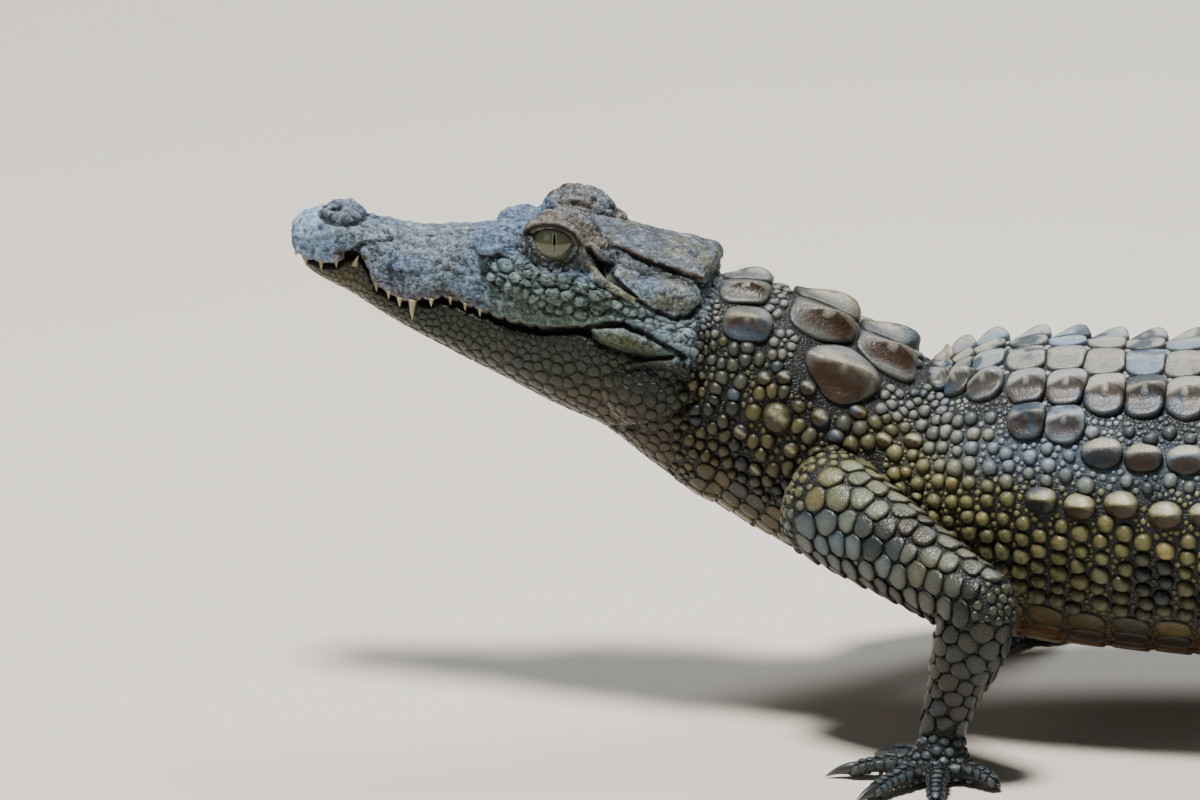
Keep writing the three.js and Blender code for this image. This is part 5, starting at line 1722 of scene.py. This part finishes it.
def paint(obj, values, name="hide_colour"):
    """Stores one linear colour per vertex."""
    layer = obj.data.color_attributes.new(name=name, type="FLOAT_COLOR", domain="POINT")
    layer.data.foreach_set("color", np.c_[values, np.ones(len(values))].astype(np.float32).ravel())


skin_tone = marking(skin_places, 1.0)
# Painted shade and highlight: the skin darkens where it lies in a crease or hollow, and its crests are
# lightened except round the eye.
crease_shade = 1 - 0.6 * fade(fine_hollow, 0.01, 0.1)
crease_shade *= 1 - 0.62 * fade(broad_hollow, 0.04, 0.42)
crest_highlight_reach = 1 - fade(np.linalg.norm(to_head(skin_places) * [1, 0, 1] - EYE_AT * [1, 0, 1], axis=1), 11, 8.5)
crest_highlight = 1 + crest_highlight_reach * (0.3 * fade(-fine_hollow, 0.0, 0.08) + 0.2 * fade(-broad_hollow, 0.05, 0.4))
skin_tone = np.clip(skin_tone * (crease_shade * crest_highlight)[:, None], 0.002, 1)
paint(skin, skin_tone)
print("skin painted, mean colour:", skin_tone.mean(0).round(3))

# %% [markdown]
# ## Scales as pieces
# The scales of a region are one mesh. Each vertex carries its scale's colour, darker at the rim and in the
# seam, partly as the dark joint between scales and partly as painted shade, with a painted highlight on its
# middle and on a keel's crest. Under a keel lies a warm or dark wash, partly the plates' own brown and partly
# painted shade. A second value, from 0 in the middle to 1 at the rim, lets the material draw growth rings. The
# map
# OFBake gives each scale a small patch at its place on the body's unwrap, so that baked colours keep apart.


# %% Make the coat
MAP_EDGE, PATCH = 0.02, 0.0015  # margin of the map and half size of a scale's patch on it


def store_rim(mesh, shares):
    """Stores how far out on its scale each vertex is."""
    rim = mesh.attributes.new("rim", "FLOAT", "POINT")
    rim.data.foreach_set("value", np.asarray(shares, np.float32))


def store_map(mesh, spread, local, corners):
    """The map OFBake: each scale is a small patch at its root's place on the unwrap."""
    low, high = spread.min(0), spread.max(0)
    root = MAP_EDGE + (1 - 2 * MAP_EDGE) * (spread - low) / np.maximum(high - low, 1e-6)
    layer = mesh.uv_layers.new(name="OFBake")
    layer.data.foreach_set("uv", (root + local * PATCH)[corners].astype(np.float32).ravel())


def coat_piece(name, made):
    """A mesh of all the scales of one piece, with its map."""
    places, quads, caps, shares, local, owner = made
    places[:, 2] = np.maximum(places[:, 2], 0.03 + 0.01 * shares)  # nothing dips under the floor
    mesh = bpy.data.meshes.new(name)
    mesh.vertices.add(len(places))
    mesh.vertices.foreach_set("co", ((places + ORIGIN) * MM).astype(np.float32).ravel())
    corners = np.concatenate([quads.ravel(), caps.ravel()])
    mesh.loops.add(len(corners))
    mesh.loops.foreach_set("vertex_index", corners.astype(np.int32))
    sizes = np.r_[np.full(len(quads), 4), np.full(len(caps), 3)]
    mesh.polygons.add(len(sizes))
    mesh.polygons.foreach_set("loop_start", np.r_[0, np.cumsum(sizes)[:-1]].astype(np.int32))
    mesh.update(calc_edges=True)
    shade_smooth(mesh)
    store_map(mesh, everyone["spread"][owner], local, corners)
    store_rim(mesh, shares)
    return link_object(name, mesh)


def by_kind(kind, shares, default, table):
    """A value for each vertex: the default, or for kinds in the table a curve over the rim's share."""
    for names, steps, values in table:
        default = np.where(np.isin(kind, names), np.interp(shares, steps, values), default)
    return default


# Partly the dark joint between scales, partly painted shade at each scale's rim and a painted highlight in its
# middle.
RIM_SHADE_AND_HIGHLIGHT = [  # kinds, shares of the outline, how bright the scale is there
    (("plate", "polygon", "belly", "oblong", "shield"), [0, 0.85, 0.955, 1.0], [1.05, 1.0, 0.75, 0.2]),
    (("polygon",), [0, 0.6, 0.9, 1.0], [1.25, 1.05, 0.65, 0.25]),
    (("cell",), [0, 0.85, 1.0], [1.03, 1.0, 0.62]),
]


def coat_colours(made):
    """Each scale's own tone, with painted shade at its rim, a painted highlight on its middle and keel, painted
    shade and brown stain under its keel, and its dark patches.
    """
    places, _, _, shares, local, owner = made
    members, back = np.unique(owner, return_inverse=True)
    kind, count = kinds[owner], len(members)
    variety = np.random.default_rng(77).normal(0, 1, (count, 2))
    strength = np.random.default_rng(79).uniform(0.45, 1.0, count)[back]
    chosen = np.random.default_rng(78).random(count)[back] > 0.42
    member_kind = kinds[members]
    spread = np.where(member_kind == "polygon", 1.7, np.where(member_kind == "cell", 0.35, 1.0))[:, None]
    tone = marking(everyone["at"][members], 0.0) * np.maximum(1 + 0.09 * spread * variety[:, :1], 0.5)
    tone = (tone * (1 + np.array([0.04, 0, -0.05]) * spread * variety[:, 1:]))[back]
    nape, oval = kind == "shield", kind == "oval"
    # Painted shade: the nape plates are darkened overall.
    tone = tone * np.where(nape, 0.7, 1.0)[:, None]
    keeled, bold = np.isin(kind, LARGE), np.where(nape | oval, 1.0, 0.0)
    beyond = np.abs(local[:, 0])  # along the scale from its middle, either way
    away = local[:, 1] * np.sign(everyone["spread"][owner, 1])  # from the keel towards the belly
    lower_lane = fade(np.abs(everyone["spread"][owner, 1]), 9, 13)
    # Under a keel the scale is washed dark brown or blue-black: partly the plates' own brown, partly painted
    # shade below the keel.
    keel_shade_and_stain = np.where(keeled, fade(away, -0.02, 0.1) * fade(away, 0.9, 0.6), 0) * fade(beyond, 0.85, 0.55)
    below_keel = fade(away, -0.04, 0.14) * (0.45 + 0.55 * fade(away, 0.95, 0.6))
    boss = fade(away, -0.02, 0.05) * fade(away, 0.66, 0.42) * fade(np.abs(local[:, 0] - 0.08), 0.8, 0.5)
    below_keel = np.where(nape, boss, below_keel * strength)
    keel_shade_and_stain = np.maximum(keel_shade_and_stain * (0.2 + 0.8 * lower_lane), bold * below_keel)
    shade_and_stain_colour = np.where((chosen | nape)[:, None], colour("2c1b07"), colour("11161b"))
    # Painted highlight on a keel's crest and on the upper side of an oval.
    keel_and_top_highlight = np.where(keeled, dab(away + 0.14, 0.22), 0) * fade(beyond, 0.9, 0.5)
    keel_and_top_highlight = np.maximum(keel_and_top_highlight * 0.5, oval * fade(away, 0.0, -0.15) * fade(away, -0.95, -0.6) * 0.75)
    patch = fade(grain(places, 7, 62) + 0.4 * grain(places, 2.5, 63), 0.3, 0.6) * keeled
    tone = layered(tone, (shade_and_stain_colour, keel_shade_and_stain * (0.84 + 0.1 * bold)), ("b8b095", keel_and_top_highlight), ("3a4755", patch * 0.85))
    tone = tone * (1 + 0.14 * grain(places * [0.5, 1.5, 1.5], 1.0, 64))[:, None]
    # Painted shade at the rim and a painted highlight in the middle of each scale.
    edge = by_kind(kind, shares, np.interp(shares, [0, 0.6, 0.9, 1.0], [1.15, 1.0, 0.62, 0.2]), RIM_SHADE_AND_HIGHLIGHT)
    return np.clip(tone * edge[:, None], 0.003, 1)


scale_objects = {}
for part, made in coat_meshes.items():
    scale_objects[part] = coat_piece(part, made)
    paint(scale_objects[part], coat_colours(made))
print("coat pieces:", len(scale_objects))

# %% [markdown]
# ## Crest of the tail
# The tail's crest is a row of upright blades of horn, double from the hips and single on the rear half. Each
# blade is lofted through oval rings that shrink and lean back as they rise, so its edge is thin and its root
# is broad enough to grow out of the ring of scales.


# %% Blades of the crest
BLADE_RINGS = (-0.12, 0.06, 0.3, 0.55, 0.78, 0.93, 1.0)  # heights, as shares of the blade's own


def blade(at, up, tailwards, half_length, height, lean):
    """One scute: rings from its sunk root to its thin edge."""
    across = unit(np.cross(up, tailwards))
    turn = np.arange(18) * 2 * math.pi / 18
    rings = []
    for share in BLADE_RINGS:
        level = max(share, 0)
        long = half_length * (1 - 0.62 * level**1.3)
        thick = (0.95 - 0.72 * level**0.8) * min(1, height / 4)
        if share == 1.0:
            long, thick = long * 0.86, thick * 0.35
        middle = at + up * (height * share) + tailwards * (lean * height * level**1.2)
        rise_back = up * (0.1 * height * level)
        flat = np.cos(turn)[:, None] * tailwards * long + soften(np.sin(turn), 2.2)[:, None] * across * thick
        rings.append(middle + flat + np.cos(turn)[:, None] * rise_back)
    return np.array(rings)


crest_s = np.r_[np.arange(station_s("hips") - 6, station_s("vent"), ROW_PITCH), tail_middles]
double_end = station_s("tail_3") - 10
blades, crest_share, crest_spread = [], [], []
for s in crest_s:
    pitch = float(np.interp(s, tail_middles, tail_pitch))
    centre, tailwards, across, up, half = (v[0] for v in spine(float(np.interp(s, SPINE_S, SPINE_T))))
    if s < double_end:
        share = (s - crest_s[0]) / (double_end - crest_s[0])
        apart = 0.34 * (1.5 - share) * half[0]
        height = 1.8 + 4.6 * fade(share, 0, 0.9)
        sides = (LEFT, RIGHT)
    else:
        share = (s - double_end) / (SPINE_S[-1] - double_end)
        apart, height, sides = 0.0, 7.4 - 5.9 * float(fade(share, 0.1, 1.0)), (0,)
    for side in sides:
        root = on_skin([centre + up * half[1] + across * side * apart])[0][0]
        lean_up = unit(up + across * side * 0.22)
        rings = blade(root - lean_up * 0.2, lean_up, tailwards, pitch * 0.52, height, 0.42)
        blades.append(loft(rings))
        crest_share += np.r_[np.repeat(1 - np.linspace(0, 1, rings.shape[0]), rings.shape[1]), 1, 0].tolist()
        crest_spread += [(s, side * apart)] * len(blades[-1][0])
tail_crest = make_object("tail_crest", *join_lofts(blades))
places = read_mesh(tail_crest)[0]
loops = np.empty(len(tail_crest.data.loops), int)
tail_crest.data.loops.foreach_get("vertex_index", loops)
local = np.stack([np.sin(places @ [1.0, 0.7, 0]), np.cos(places @ [0, 0.7, 1.0])], -1)
store_map(tail_crest.data, np.array(crest_spread), local, loops)
store_rim(tail_crest.data, crest_share)
tone = layered(marking(places, 0.0), ("5d5a4c", np.full(len(places), 0.35)))
tone = tone * (1.15 - 0.75 * fade(np.array(crest_share), 0.75, 1.0) + 0.12 * grain(places, 2.2, 71))[:, None]
paint(tail_crest, np.clip(tone, 0.003, 1))
print("crest blades:", len(blades))

# %% [markdown]
# ## Eyes
# A crocodile's eye shows only its iris: olive, streaked outwards from an upright slit of a pupil, and darker
# at the rim. The eyeball is one polished piece with a low bulge for the cornea. A clear shell over a sunken
# iris would refract as the real one does, but shows no more than this at such a size.


# %% Eyeballs
def eyeball(name, side):
    """A ball with a bulging front. Returns the object and its vertices' places in the eye's own axes."""
    gaze = HEAD_TURN @ unit(GAZE * [1, side, 1] - 0.15 * EYE_UP * [1, side, 1])
    upright = unit(np.array([0, 0, 1.0]) - gaze[2] * gaze)
    level = np.cross(upright, gaze)
    polar = np.r_[np.linspace(0.004, 1.05, 84), np.linspace(1.1, math.pi - 0.02, 18)]
    turn = np.linspace(0, 2 * math.pi, 120, endpoint=False)
    p, q = np.meshgrid(polar, turn, indexing="ij")
    radius = EYEBALL + 0.32 * dab(p, 0.95)
    axes = np.stack([np.sin(p) * np.cos(q), np.sin(p) * np.sin(q), np.cos(p)], -1) * radius[..., None]
    places, faces = loft(axes)
    centre = from_head(EYE_AT * [1, side, 1])
    return make_object(name, centre + places @ np.stack([level, upright, gaze]), faces), places


EYEBALL = 6.62
SLIT_HALF, SLIT_TALL, IRIS = 0.36, 2.5, 5.5
eyes = {}
for name, side in (("eyeball_left", LEFT), ("eyeball_right", RIGHT)):
    eyes[name], axes = eyeball(name, side)
    across, upright = axes[:, 0], axes[:, 1]
    away = np.hypot(across, upright)
    angle = np.arctan2(upright, across)
    streak = grain(np.stack([np.cos(angle) * 9, np.sin(angle) * 9, away * 0.5], -1), 0.7, 81)
    # Painted shade of the upper lid: the iris darkens towards its top and is lighter towards its bottom.
    tone = layered(plain("464930", len(axes)), ("30352a", fade(upright, -1, 3.2)),
                   ("545737", fade(upright, -1.5, -4.2) * 0.6))
    slit = SLIT_HALF * np.sqrt(np.clip(1 - (upright / SLIT_TALL) ** 2, 0, 1))
    edge, beside_slit = np.abs(across) - slit, np.abs(upright) < SLIT_TALL
    tone = layered(tone * (1 + 0.22 * streak)[:, None], ("120e09", fade(away, IRIS - 1.4, IRIS - 0.1)),
                   ("6e6f4b", dab(edge - 0.12, 0.2) * beside_slit * 0.7),
                   ("050505", fade(edge, 0.06, -0.04) * beside_slit), ("1d1610", axes[:, 2] <= 0))
    paint(eyes[name], np.clip(tone, 0.002, 1), "iris_colour")
print("eyeballs:", list(eyes), "radius, mm:", EYEBALL)

# %% [markdown]
# ## Teeth
# The teeth hang outside the closed jaws, each under its lobe of the lip, and the lower fourth tooth stands in
# the notch behind the nostrils. Each is a cone that bends back a little and is sunk in the lip at its root.


# %% Teeth
def cone(start, way, bend, length, radius, tall=1.0, sharp=0.75):
    """A curved, round-tipped cone: start, direction, direction of its bend, length and root radius."""
    way, beside = unit(way), unit(np.cross(way, bend))
    up = np.cross(beside, way)
    turn = np.linspace(0, 2 * math.pi, 18, endpoint=False)
    rings = []
    for share in np.r_[np.linspace(0, 0.9, 12), 0.95, 0.98, 1.0]:
        middle = start + way * length * share + np.asarray(bend) * length * share**2
        size = radius * max(1 - share, 0) ** sharp * (1 - 0.12 * share) + 0.02
        across, high = np.cos(turn)[:, None] * beside * size, np.sin(turn)[:, None] * up * size * tall
        rings.append(middle + across + high)
    return loft(rings)


tooth_lofts = []
for side in (LEFT, RIGHT):
    for x, length, radius in UPPER_TEETH:
        start = np.array([x, side * (lip_half(x) - 1.1), lip_height(x) + 0.6])
        way, bend = (0.02, side * -0.05, -1), (0.12, -0.1 * side, 0)
        shown = length * (0.6 if length < 4 else 1)
        tooth_lofts.append(cone(start, way, bend, shown + 1.2, radius * 0.85))
    for x, length, radius in LOWER_TEETH:
        start = np.array([x, side * (lip_half(x) - 0.5), lip_height(x) - 2.6])
        tooth_lofts.append(cone(start, (0, side * 0.05, 1), (0.15, 0, 0), length * 0.75 + 1.0, radius * 0.85))
places, faces = join_lofts(tooth_lofts)
teeth = make_object("teeth", from_head(places), faces)
long = np.isin(np.round(places[:, 0] / 6), [-11, -12])  # where the longest tooth stands
paint(teeth, layered(plain("7d7459", len(places)), ("a59a79", long),
                     ("6f6245", fade(grain(places, 0.9, 91), -0.2, 0.7) * 0.6)), "enamel_colour")
print("teeth:", len(tooth_lofts))

# %% [markdown]
# ## Claws
# Three toes of each foot carry a claw: a horn cone, deeper than it is wide, that curves down to the floor
# from inside the toe's tip.

# %% Claws
CLAW_LENGTH, CLAW_RADIUS, CLAW_LOWEST = 7.4, 1.45, 0.45
claws = {}
for leg, (kind, *_) in LEGS.items():
    for number, toe in enumerate([toe for toe in kind["toes"] if toe[2]], 1):
        _, _, tip, outward = toe_line(leg, toe)
        start = tip - outward * 2.4
        start[2] = kind["toe_radius"][1] * 1.15
        way = unit(outward + [0, 0, 0.12])
        drop = (start[2] + way[2] * CLAW_LENGTH - CLAW_LOWEST) / CLAW_LENGTH
        places, faces = cone(start, way, (0, 0, -drop), CLAW_LENGTH, CLAW_RADIUS, 1.25, 0.62)
        name = f"claw_{leg}_{number}"
        places[:, 2] = np.maximum(places[:, 2], 0.05)
        claws[name] = make_object(name, places, faces)
        towards_tip = fade(np.linalg.norm(places - start, axis=1), 4.0, CLAW_LENGTH)
        tone = layered(plain("2e3236", len(places)), ("6b6252", towards_tip))
        tone = tone * (1 + 0.2 * grain(places * [1, 1, 3], 0.8, 95))[:, None]
        paint(claws[name], tone, "claw_colour")
print("claws:", len(claws), "lowest, mm:", round(min(read_mesh(c)[0][:, 2].min() for c in claws.values()), 2))

# %% [markdown]
# ## Materials
# Hide is skin with a thin horny layer. It is not glossy: light catches only on the raised middles of the
# scales. Horn on scales is a little smoother than the skin between them. The finest wrinkles and pores are
# in the material, as bump and as small changes of tone.


# %% A node and its links
def wire(tree, made, links=None, **settings):
    """Sets a node's properties or sockets by name, and links its inputs from sockets or gives them values."""
    for key, value in settings.items():
        if hasattr(made, key):
            setattr(made, key, value)
        else:
            made.inputs[key.replace("_", " ")].default_value = value
    for key, source in (links or {}).items():
        if isinstance(source, bpy.types.NodeSocket):
            tree.links.new(source, made.inputs[key])
        else:
            made.inputs[key].default_value = source
    return made


def node(tree, kind, links=None, **settings):
    """Adds a node and wires it. Returns its first output."""
    return wire(tree, tree.nodes.new("ShaderNode" + kind), links, **settings).outputs[0]


def noise(tree, place, size, detail):
    """A noise whose blotches are size millimetres across, from 0 to 1."""
    return node(tree, "TexNoise", {"Vector": place}, Scale=1 / (size * MM), Detail=detail)


def times(tree, a, b):
    return node(tree, "VectorMath", {0: a, 1: b}, operation="MULTIPLY")


def fresh_material(name):
    """A new material: itself, its nodes, its shader and a socket with the place on the object."""
    material = bpy.data.materials.new(name)
    material.use_nodes = True
    tree = material.node_tree
    place = tree.nodes.new("ShaderNodeTexCoord").outputs["Object"]
    return material, tree, tree.nodes["Principled BSDF"], place


# %% Hide and horn
def hide_material(name, roughness, wrinkle, wrinkle_depth, mottle, ringed):
    """Grown hide: its painted colour, mottled, with fine wrinkles and, if ringed, growth rings."""
    material, tree, shader, place = fresh_material(name)
    painted = node(tree, "VertexColor", layer_name="hide_colour")
    tone = node(tree, "MapRange", {"Value": noise(tree, place, mottle, 4.0)}, From_Min=0.3, From_Max=0.7,
                To_Min=0.78, To_Max=1.2)
    cells = node(tree, "TexVoronoi", {"Vector": place}, Scale=1 / (wrinkle * MM), feature="DISTANCE_TO_EDGE")
    crease = node(tree, "MapRange", {"Value": cells}, From_Max=0.18, To_Max=0.2 if ringed else 1.0)
    rough = noise(tree, place, wrinkle * 0.6, 5.0)
    height = node(tree, "Math", {0: crease, 1: rough}, operation="ADD")
    if ringed:
        rim = tree.nodes.new("ShaderNodeAttribute")
        rim.attribute_name = "rim"
        wave = node(tree, "Math", {0: rim.outputs["Fac"], 1: 44.0}, operation="MULTIPLY")
        ripple = node(tree, "Math", {0: wave}, operation="SINE")
        soft = node(tree, "Math", {0: ripple, 1: 0.05}, operation="MULTIPLY")
        height = node(tree, "Math", {0: height, 1: soft}, operation="ADD")
    bump = node(tree, "Bump", {"Height": height}, Strength=0.7, Distance=wrinkle_depth * MM)
    gloss = node(tree, "MapRange", {"Value": rough}, To_Min=roughness - 0.1, To_Max=roughness + 0.12)
    wire(tree, shader, {"Base Color": times(tree, painted, tone), "Normal": bump, "Roughness": gloss},
         IOR=1.5, Specular_IOR_Level=0.36)
    return material


living_hide = hide_material("grown_hide", 0.45, 0.9, 0.16, 0.7, False)
horn_plate = hide_material("grown_horn_plate", 0.37, 1.3, 0.14, 0.9, True)
bead_horn = hide_material("grown_horn_bead", 0.3, 0.9, 0.06, 0.7, False)
skin.data.materials.append(living_hide)
for part, obj in scale_objects.items():
    plated = part in ("back_scales", "neck_scales", "tail_scales")
    obj.data.materials.append(horn_plate if plated else bead_horn)
print("hide materials:", [m.name for m in (living_hide, horn_plate, bead_horn)])

# %% Plaster floor
plaster_floor, tree, shader, place = fresh_material("trowelled_plaster")
cloudy = node(tree, "MapRange", {"Value": noise(tree, place, 140, 3.0)}, To_Min=0.97, To_Max=1.03)
wire(tree, shader, {"Base Color": times(tree, tuple(colour("e3dccf")), cloudy)}, Roughness=0.85)
print("floor material:", plaster_floor.name)


# %% Eyes, enamel and claw horn
def painted_material(name, layer, streak, bump_depth, **settings):
    """A material whose colour is painted on the vertices, with fine streaks pressed into it."""
    material, tree, shader, place = fresh_material(name)
    painted = node(tree, "VertexColor", layer_name=layer)
    streaks = noise(tree, place, streak, 3.0)
    tone = node(tree, "MapRange", {"Value": streaks}, To_Min=0.85, To_Max=1.15)
    bump = node(tree, "Bump", {"Height": streaks}, Strength=0.5, Distance=bump_depth * MM)
    wire(tree, shader, {"Base Color": times(tree, painted, tone), "Normal": bump}, **settings)
    return material


wet_iris = painted_material("polished_glass_eye", "iris_colour", 0.5, 0.004, Roughness=0.12, IOR=1.38,
                            Coat_Weight=1.0, Coat_Roughness=0.02, Coat_IOR=1.5)
enamel = painted_material("grown_enamel", "enamel_colour", 0.6, 0.02, Roughness=0.28, IOR=1.62)
claw_horn = painted_material("grown_claw_horn", "claw_colour", 0.5, 0.05, Roughness=0.38, IOR=1.54)
for obj in eyes.values():
    obj.data.materials.append(wet_iris)
teeth.data.materials.append(enamel)
for obj in claws.values():
    obj.data.materials.append(claw_horn)
tail_crest.data.materials.append(horn_plate)
print("materials in all:", len(bpy.data.materials))

# %% [markdown]
# ## What each piece stands for
# The skin takes the place of every CAD solid of flesh, and each eye and claw takes its own solid's place. The
# scales and the teeth ride along.

# %% Riders
FLESH = [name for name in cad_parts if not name.startswith("eye") and "claw" not in name]
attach(skin, "root")
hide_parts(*FLESH)
for part, obj in scale_objects.items():
    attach(obj, "root")
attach(tail_crest, "root")
for name, obj in eyes.items():
    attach(obj, "root")
    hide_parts("eye_left" if name.endswith("left") else "eye_right")
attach(teeth, "root")
for name, obj in claws.items():
    leg, number = name[5:].rsplit("_", 1)
    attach(obj, "root")
    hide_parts(f"{leg}_claw_{number}")
print("pieces riding:", 3 + len(scale_objects) + len(eyes) + len(claws))

# %% [markdown]
# ## Floor, light and camera
# The animal stands on a plain pale floor, wide enough to lie behind it from every side. A soft lamp stands
# high over the camera's side, so the tops are bright and the flanks fall away as they do out of doors. A
# second, cooler one shines along the back from behind, and a third, weak one stands low to the side. The
# world adds a little even light, so no shadow is black.


# %% Floor
def flat_sheet(half):
    """One level square sheet at the floor's height, in metres."""
    mesh = bpy.data.meshes.new("floor")
    corners = [(-half, -half, 0), (half, -half, 0), (half, half, 0), (-half, half, 0)]
    mesh.from_pydata(corners, [], [(0, 1, 2, 3)])
    return link_object("floor", mesh)


FLOOR_HALF = 14.0  # metres
floor = flat_sheet(FLOOR_HALF)
floor.data.materials.append(plaster_floor)
print("floor:", len(floor.data.polygons), "faces")


# %% Lights
def soft_lamp(name, place, size, watts, colour):
    """A square area lamp that looks at the animal's middle."""
    data = bpy.data.lights.new(name, "AREA")
    data.shape, data.size, data.energy, data.color = "SQUARE", size, watts, colour
    lamp = link_object(name, data)
    lamp.location = place
    lamp.rotation_euler = (Vector((-0.15, 0, 0.07)) - Vector(place)).to_track_quat("-Z", "Y").to_euler()


soft_lamp("key_lamp", (-0.42, -0.28, 1.77), 0.36, 56, (1.0, 0.98, 0.94))
soft_lamp("rim_lamp", (0.3, 1.1, 1.5), 0.7, 20, (0.92, 0.96, 1.0))
soft_lamp("low_lamp", (-1.5, -1.4, 0.9), 1.0, 2, (0.95, 0.98, 1.0))
world = bpy.data.worlds.new("studio")
world.use_nodes = True
wire(world.node_tree, world.node_tree.nodes["Background"], Color=(0.86, 0.9, 1.0, 1), Strength=0.09)
bpy.context.scene.world = world

# %% Camera
# A long lens from a low stand, square to the animal's left side: 4 degrees round and 16 above the horizon.
# The frame is 292.7 mm wide at the animal's head, seen from 2.55 m.
CAMERA_TURN, CAMERA_RISE, CAMERA_AWAY, FRAME_WIDTH = math.radians(4), math.radians(16), 2.55, 0.2927
ACROSS = np.array([math.cos(CAMERA_TURN), math.sin(CAMERA_TURN), 0])
INTO = np.array([-math.sin(CAMERA_TURN) * math.cos(CAMERA_RISE),
                 math.cos(CAMERA_TURN) * math.cos(CAMERA_RISE), -math.sin(CAMERA_RISE)])
UPWARD = np.cross(ACROSS, INTO)
AIM_UP = 300 / 4.1  # the frame's middle is this far above the drawn origin, in the picture's plane
aim = (UPWARD * AIM_UP + ORIGIN) * MM
aim = aim + INTO * float((np.array([-0.27, -0.01, 0.09]) - aim) @ INTO)
camera_data = bpy.data.cameras.new("camera")
camera_data.lens = camera_data.sensor_width * CAMERA_AWAY / FRAME_WIDTH
camera_data.clip_start, camera_data.clip_end = 0.05, 50
camera = link_object("camera", camera_data)
camera.location = Vector(aim - INTO * CAMERA_AWAY)
camera.rotation_euler = Matrix([ACROSS, UPWARD, -INTO]).transposed().to_euler()
bpy.context.scene.camera = camera
print("camera at", [round(v, 3) for v in camera.location], "lens", round(camera_data.lens, 1), "mm")
